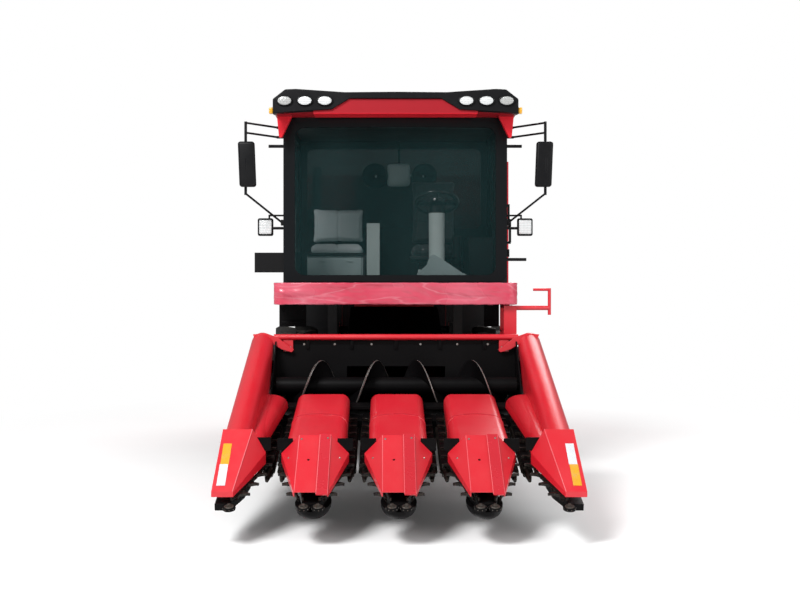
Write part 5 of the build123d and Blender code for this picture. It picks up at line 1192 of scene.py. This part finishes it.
def side_fittings(steelwork, dark, side):
    """Bolts, latches, hinges and handles on one side of the machine."""
    out = ACROSS * side
    for k in range(8):
        for z in COVER_Z:
            bolt(steelwork, (side * COVER_X, 1.06 + 0.168 * k, z), out)
    near, far = side * (COVER_X - 0.002), side * (COVER_X + 0.018)
    for y in (1.33, 1.98):
        slab(dark, (near, y - 0.05, 1.655), (far, y + 0.05, 1.69), 0.006)
        slab(dark, (near, y - 0.03, 1.165), (far, y + 0.03, 1.195), 0.005)
    for y in (1.36, 1.6, 1.84, 2.08, 2.24):
        bolt(steelwork, (side * HUSKER_X, y, 1.8), out)
    grip, foot = side * (HUSKER_X + 0.038), side * (HUSKER_X + 0.01)
    for y in (1.55, 1.85):
        handle(dark, grip, foot, side * 0.006, y, (2.02, 2.14), 0.008, 12)
    for y, z in ELEVATOR_BOLTS:
        bolt(steelwork, (side * ELEVATOR_X, y, z), out)
    for y in (-0.8, -0.4, 0.4, 0.8, 1.9, 2.3, 2.7, 3.1, 3.5):
        for z in (0.985, 1.115):
            bolt(steelwork, (side * RAIL_X, y, z), out, 0.009)


def body_fitting_pieces():
    """What is bolted to the body's two sides, the tank's cap, exhaust clamps and tread bars."""
    steelwork, dark = bmesh.new(), bmesh.new()
    for side in SIDES:
        side_fittings(steelwork, dark, side)
    cap = ((-0.005, 0.004), (-0.005, 0.046), (0.03, 0.044), (0.036, 0.036), (0.036, 0.004))
    lathe(dark, cap, (0.82, 0.955, 1.15), UP, 24)
    for z, r in ((1.84, 0.045), (2.0, 0.11), (2.4, 0.11), (2.58, 0.045), (2.9, 0.045)):
        clamp = ((-0.014, r - 0.004), (-0.014, r + 0.007), (0.014, r + 0.007), (0.014, r - 0.004))
        lathe(steelwork, clamp, EXHAUST + UP * z, UP, 32)
    for z in TREADS_Z:
        for x in (0.955, 0.985, 1.015):
            slab(steelwork, (x - 0.004, -1.22, z - 0.002), (x + 0.004, -0.94, z + 0.006), 0.001)
    as_piece("body_fixings", steelwork, "machine", steel)
    as_piece("body_latches", dark, "machine", plastic)


def apron_piece():
    """Black plates under the cab's front corners, with stiffening folds and bolts."""
    bm = bmesh.new()
    for low, high in ((-1.03, -0.79), (0.79, 0.925)):
        slab(bm, (low, -0.9, 1.31), (high, -0.888, 1.61), 0.003)
        slab(bm, (low + 0.02, -0.909, 1.335), (high - 0.02, -0.897, 1.36), 0.004)
        for x in (low + 0.03, high - 0.03):
            bolt(bm, (x, -0.9, 1.46), (0, -1, 0), 0.009)
    as_piece("cab_aprons", bm, "machine", matt_black)


def bin_fitting_piece():
    """Rivets along the bin's rim."""
    rim_z = 2.96
    bm = bmesh.new()
    for k in range(8):
        y = 2.45 + 0.175 * k
        bolt(bm, (-1.08, y, rim_z), -ACROSS)
        bolt(bm, (1.14, y, rim_z), ACROSS)
    for k in range(11):
        bolt(bm, (-1.0 + 0.205 * k, 3.76, rim_z), (0, 1, 0))
    as_piece("bin_fixings", bm, "ear_bin", steel)


def door_fitting_piece():
    """The door's pull handle and lock."""
    bm = bmesh.new()
    handle(bm, 1.028, 0.995, 0.006, -0.84, (2.06, 2.26), 0.011, 14)
    slab(bm, (0.998, -0.875, 1.93), (1.02, -0.825, 2.0), 0.006)
    as_piece("door_handle", bm, "cab_door", plastic)


body_fitting_pieces()
apron_piece()
bin_fitting_piece()
door_fitting_piece()


# Front skirt under its protective film

def skirt_piece():
    """The skirt's own form, lightly creased."""
    bm = relaxed(in_cells("skirt_block", node_mesh("front_skirt"), 0.008))
    for v in bm.verts:
        spot = Vector((v.co.x * 5.0, v.co.y * 9.0, v.co.z * 11.0 + v.co.x * 4.0))
        fold = abs(noise.noise(spot)) + 0.5 * abs(noise.noise(spot * 2.3))
        v.co -= v.normal * (0.001 + 0.009 * fold)
    as_piece("front_skirt_look", bm, "machine", skirt_film, ("front_skirt",), 60, tidy=False)


skirt_piece()


# Seats

TUCK_HALF, TUCK_DEPTH = 0.022, 0.012
COARSE_CELL, FINE_CELL = 0.016, 0.010
SWELL_FRAMES, SWELL_PRESSURE = 14, 4.0
PADS = (
    # name, cloth, low corner, high corner, lean, swell, axis and places of the sewn tucks
    ("driver_cushion", seat_cloth, (0.15, -0.48, 1.955), (0.61, -0.02, 2.04), 0.0, 0.024, 0, (0.25, 0.51)),
    ("driver_back", seat_cloth, (0.16, -0.02, 2.08), (0.60, 0.05, 2.71), 0.118, 0.022, 2, (2.3, 2.52)),
    ("bench_cushion", bench_cloth, (-0.80, -0.38, 1.985), (-0.29, 0.06, 2.05), 0.0, 0.022, 0, (-0.545,)),
    ("bench_back", bench_cloth, (-0.80, 0.015, 2.09), (-0.29, 0.075, 2.44), 0.118, 0.022, 0, (-0.545,)),
)


def swollen(pad):
    """Blows a cushion up by a short cloth run."""
    cloth = pad.modifiers.new("swell", "CLOTH")
    cloth.settings.use_pressure = True
    cloth.settings.uniform_pressure_force = SWELL_PRESSURE
    cloth.settings.effector_weights.gravity = 0
    scene = bpy.context.scene
    for step in range(1, SWELL_FRAMES + 1):
        scene.frame_set(step)
    blown = worked_out(pad)
    pad.modifiers.clear()
    pad.data = blown
    scene.frame_set(1)


def pad_piece(name, cloth, low, high, lean, swell, tuck_axis, tucks):
    """A sewn cushion blown up by a short cloth run, capped in its growth."""
    bm = bmesh.new()
    slab(bm, low, high, 0.025, 3)
    for v in bm.verts:
        v.co.y += lean * (v.co.z - low[2])
    pad = in_cells(name, bm, FINE_CELL)
    rest = [v.co.copy() for v in pad.data.vertices]
    swollen(pad)
    for v, start in zip(pad.data.vertices, rest):
        move = v.co - start
        if move.length > swell:
            v.co = start + move.normalized() * swell
    bm = relaxed(pad)
    for place in tucks:
        for v in bm.verts:
            off = abs(v.co[tuck_axis] - place)
            if off < TUCK_HALF:
                v.co -= v.normal * TUCK_DEPTH * (1 - off / TUCK_HALF) ** 2
    piece = as_piece(name, bm, "machine", cloth, (), 70, tidy=False)
    rounding = piece.modifiers.new("smooth", "SUBSURF")
    rounding.levels = 1
    rounding.render_levels = 1
    return piece


def seat_base_pieces():
    """The driver's pedestal with its bellows and pan, and the bench box with dark trim."""
    dark, pale = bmesh.new(), bmesh.new()
    slab(dark, (0.2, -0.42, FLOOR_Z), (0.56, -0.1, FLOOR_Z + 0.04), 0.008)
    for k in range(6):
        z, inset = FLOOR_Z + 0.04 + 0.042 * k, 0.01 * (k % 2)
        slab(dark, (0.215 + inset, -0.405, z), (0.545 - inset, -0.115, z + 0.042), 0.014, 3)
    slab(dark, (0.14, -0.49, 1.915), (0.62, 0.0, 1.955), 0.012)
    slab(dark, (-0.82, -0.405, 1.955), (-0.27, -0.38, 1.985), 0.004)
    slab(dark, (-0.295, -0.405, FLOOR_Z), (-0.27, -0.38, 1.97), 0.004)
    slab(dark, (-0.82, -0.395, 1.66), (-0.3, -0.381, 1.685), 0.004)
    slab(pale, (-0.82, -0.38, FLOOR_Z), (-0.27, 0.08, 1.975), 0.012)
    slab(pale, (-0.8, -0.388, 1.7), (-0.31, -0.378, 1.94), 0.004)
    for x in (-0.68, -0.42):
        slab(pale, (x - 0.03, -0.398, 1.9), (x + 0.03, -0.386, 1.914), 0.003)
    as_piece("seat_bases", dark, "machine", dark_cab, (), 36)
    as_piece("bench_box", pale, "machine", cab_plastic, (), 36)


pads = [pad_piece(*row) for row in PADS]
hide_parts("seats")
seat_base_pieces()


# Lamps

VISOR_Y, VISOR_Z = -1.34, 3.242
LENS_HALF, LENS_RISE = 0.064, 0.040
# along the lamp's axis in metres, out as a share of the lens
BEZEL = ((-0.004, 0.9), (0.012, 0.9), (0.018, 0.97), (0.016, 1.06), (-0.004, 1.1))
DOME = ((-0.004, 0.02), (0.016, 0.02), (0.0155, 0.3), (0.014, 0.6), (0.010, 0.92), (-0.004, 0.92))
LAMP_Y, LAMP_Z = -0.98, 2.18
TAIL_Y = 3.71


def oval(bm, profile, x):
    """A profile turned into an oval on the visor's front."""
    round_form = bmesh.new()
    lathe(round_form, profile, (0, 0, 0), (0, -1, 0), 40)
    for v in round_form.verts:
        v.co = Vector((x + v.co.x * LENS_HALF, VISOR_Y + v.co.y, VISOR_Z + v.co.z * LENS_RISE))
    joined(bm, round_form)


def lamp_pieces():
    """Visor lamps, corner markers, side lamps on their arms and tail lamps."""
    shell, arm = bmesh.new(), bmesh.new()
    clear, dim, amber, tail = (bmesh.new() for _ in range(4))
    for side in SIDES:
        for x, glass in ((0.602, clear), (0.772, clear), (0.944, dim)):
            oval(shell, BEZEL, side * x)
            oval(glass, DOME, side * x)
        slab(amber, (side * 1.045, -1.32, 3.136), (side * 1.079, -1.28, 3.19), 0.006, 3)
        slab(shell, (side * 1.075, LAMP_Y - 0.02, 2.112), (side * 1.212, LAMP_Y + 0.028, 2.268), 0.016, 4)
        slab(clear, (side * 1.089, LAMP_Y - 0.028, 2.128), (side * 1.198, LAMP_Y - 0.016, 2.252), 0.01, 3)
        for start, end, radius in (
            ((0.985, LAMP_Z), (1.08, LAMP_Z), 0.012),
            ((0.985, LAMP_Z + 0.112), (1.11, LAMP_Z + 0.112), 0.008),
            ((1.11, LAMP_Z + 0.119), (1.11, LAMP_Z + 0.08), 0.008),
        ):
            rod(arm, (side * start[0], LAMP_Y, start[1]), (side * end[0], LAMP_Y, end[1]), radius)
        slab(shell, (side * 0.48, TAIL_Y - 0.01, 1.01), (side * 0.58, TAIL_Y + 0.002, 1.11), 0.004)
        slab(tail, (side * 0.486, TAIL_Y, 1.016), (side * 0.574, TAIL_Y + 0.014, 1.066), 0.004)
        slab(amber, (side * 0.486, TAIL_Y, 1.07), (side * 0.574, TAIL_Y + 0.014, 1.104), 0.004)
    as_piece("lamp_shells", shell, "machine", plastic, ("lamps",), 40)
    as_piece("work_lamp_lenses", clear, "machine", lamp_lens, (), 50)
    as_piece("outer_lamp_lenses", dim, "machine", dim_lens, (), 50)
    as_piece("amber_lenses", amber, "machine", amber_lens, (), 50)
    as_piece("tail_lenses", tail, "machine", red_lens, (), 50)
    as_piece("lamp_arms", arm, "machine", plastic, (), 40)


lamp_pieces()


# Stage, lights and camera

STUDIO_LAMPS = (
    # name, place, aim, size, watts
    ("key", (-5.0, -9.0, 9.5), (0, -1, 1.2), 4.0, 1500),
    ("fill", (8.0, -7.0, 6.5), (0, -1, 1.2), 10.0, 480),
    ("back", (3.0, 10.0, 8.0), (0, 1, 1.5), 6.0, 700),
)
IMAGE_WIDTH = 800
SKY, SKY_SEEN, SKY_MIRRORED = 0.52, 1.0, 0.5  # as light, to the camera, share left in mirrors
POOL_X, POOL_Y = 5.5, 8.0  # half axes of the floor that takes shadows


def floor_piece():
    """A pale floor that turns plain white away from the machine."""
    bm = bmesh.new()
    bmesh.ops.create_grid(bm, x_segments=1, y_segments=1, size=60)
    mesh = bpy.data.meshes.new("floor")
    bm.to_mesh(mesh)
    bm.free()
    floor = bpy.data.objects.new("floor", mesh)
    bpy.context.scene.collection.objects.link(floor)
    pale = Finish("pale_floor", {"Roughness": 0.9, "Specular IOR Level": 0.1})
    pale.feed("Base Color", pale.blend(pale.grain(0.6, 2), (0.88, 0.88, 0.88), (0.92, 0.92, 0.92)))
    x, y = pale.axis("X") / POOL_X, pale.axis("Y") / POOL_Y
    far = pale.spread((x * x + y * y).sum("SQRT", 0), 0.55, 1.0)
    bright = pale.node("Emission", inputs={"Color": (1, 1, 1, 1), "Strength": 1.0})
    surface = Channel(pale.tree, pale.shader.outputs[0])
    mixed = pale.node("MixShader", inputs={0: far, 1: surface, 2: bright})
    pale.tree.links.new(mixed.socket, pale.tree.nodes["Material Output"].inputs["Surface"])
    mesh.materials.append(pale.material)


def sky():
    """White all round: full to the camera, weaker as light and in mirrors."""
    world = bpy.data.worlds.new("studio")
    bpy.context.scene.world = world
    world.use_nodes = True
    studio = NodeTree(world.node_tree)
    seen = studio.node("LightPath", output="Is Camera Ray")
    mirrored = studio.node("LightPath", output="Is Glossy Ray")
    strength = (SKY + seen * (SKY_SEEN - SKY)) * (1 - mirrored * (1 - SKY_MIRRORED))
    background = world.node_tree.nodes["Background"]
    background.inputs["Color"].default_value = (1, 1, 1, 1)
    world.node_tree.links.new(strength.socket, background.inputs["Strength"])


def lights():
    """Three soft lamps, each turned to its aim."""
    for name, place, aim, size, watts in STUDIO_LAMPS:
        light = bpy.data.lights.new(name, "AREA")
        light.size = size
        light.energy = watts
        lamp = bpy.data.objects.new(name, light)
        lamp.location = place
        lamp.rotation_euler = (Vector(aim) - Vector(place)).to_track_quat("-Z", "Y").to_euler()
        bpy.context.scene.collection.objects.link(lamp)


def camera():
    """A level view from the front, framed as the photo is."""
    view = bpy.data.cameras.new("camera")
    view.lens = 49.8
    view.sensor_width = 36.0
    view.shift_x = 15 / IMAGE_WIDTH
    view.shift_y = -6 / IMAGE_WIDTH
    tripod = bpy.data.objects.new("camera", view)
    tripod.location = (-0.09, -10.74, 1.6)
    tripod.rotation_euler = (math.radians(90), 0, 0)
    bpy.context.scene.collection.objects.link(tripod)
    bpy.context.scene.camera = tripod


bpy.context.scene.view_settings.view_transform = "Standard"
floor_piece()
sky()
lights()
camera()
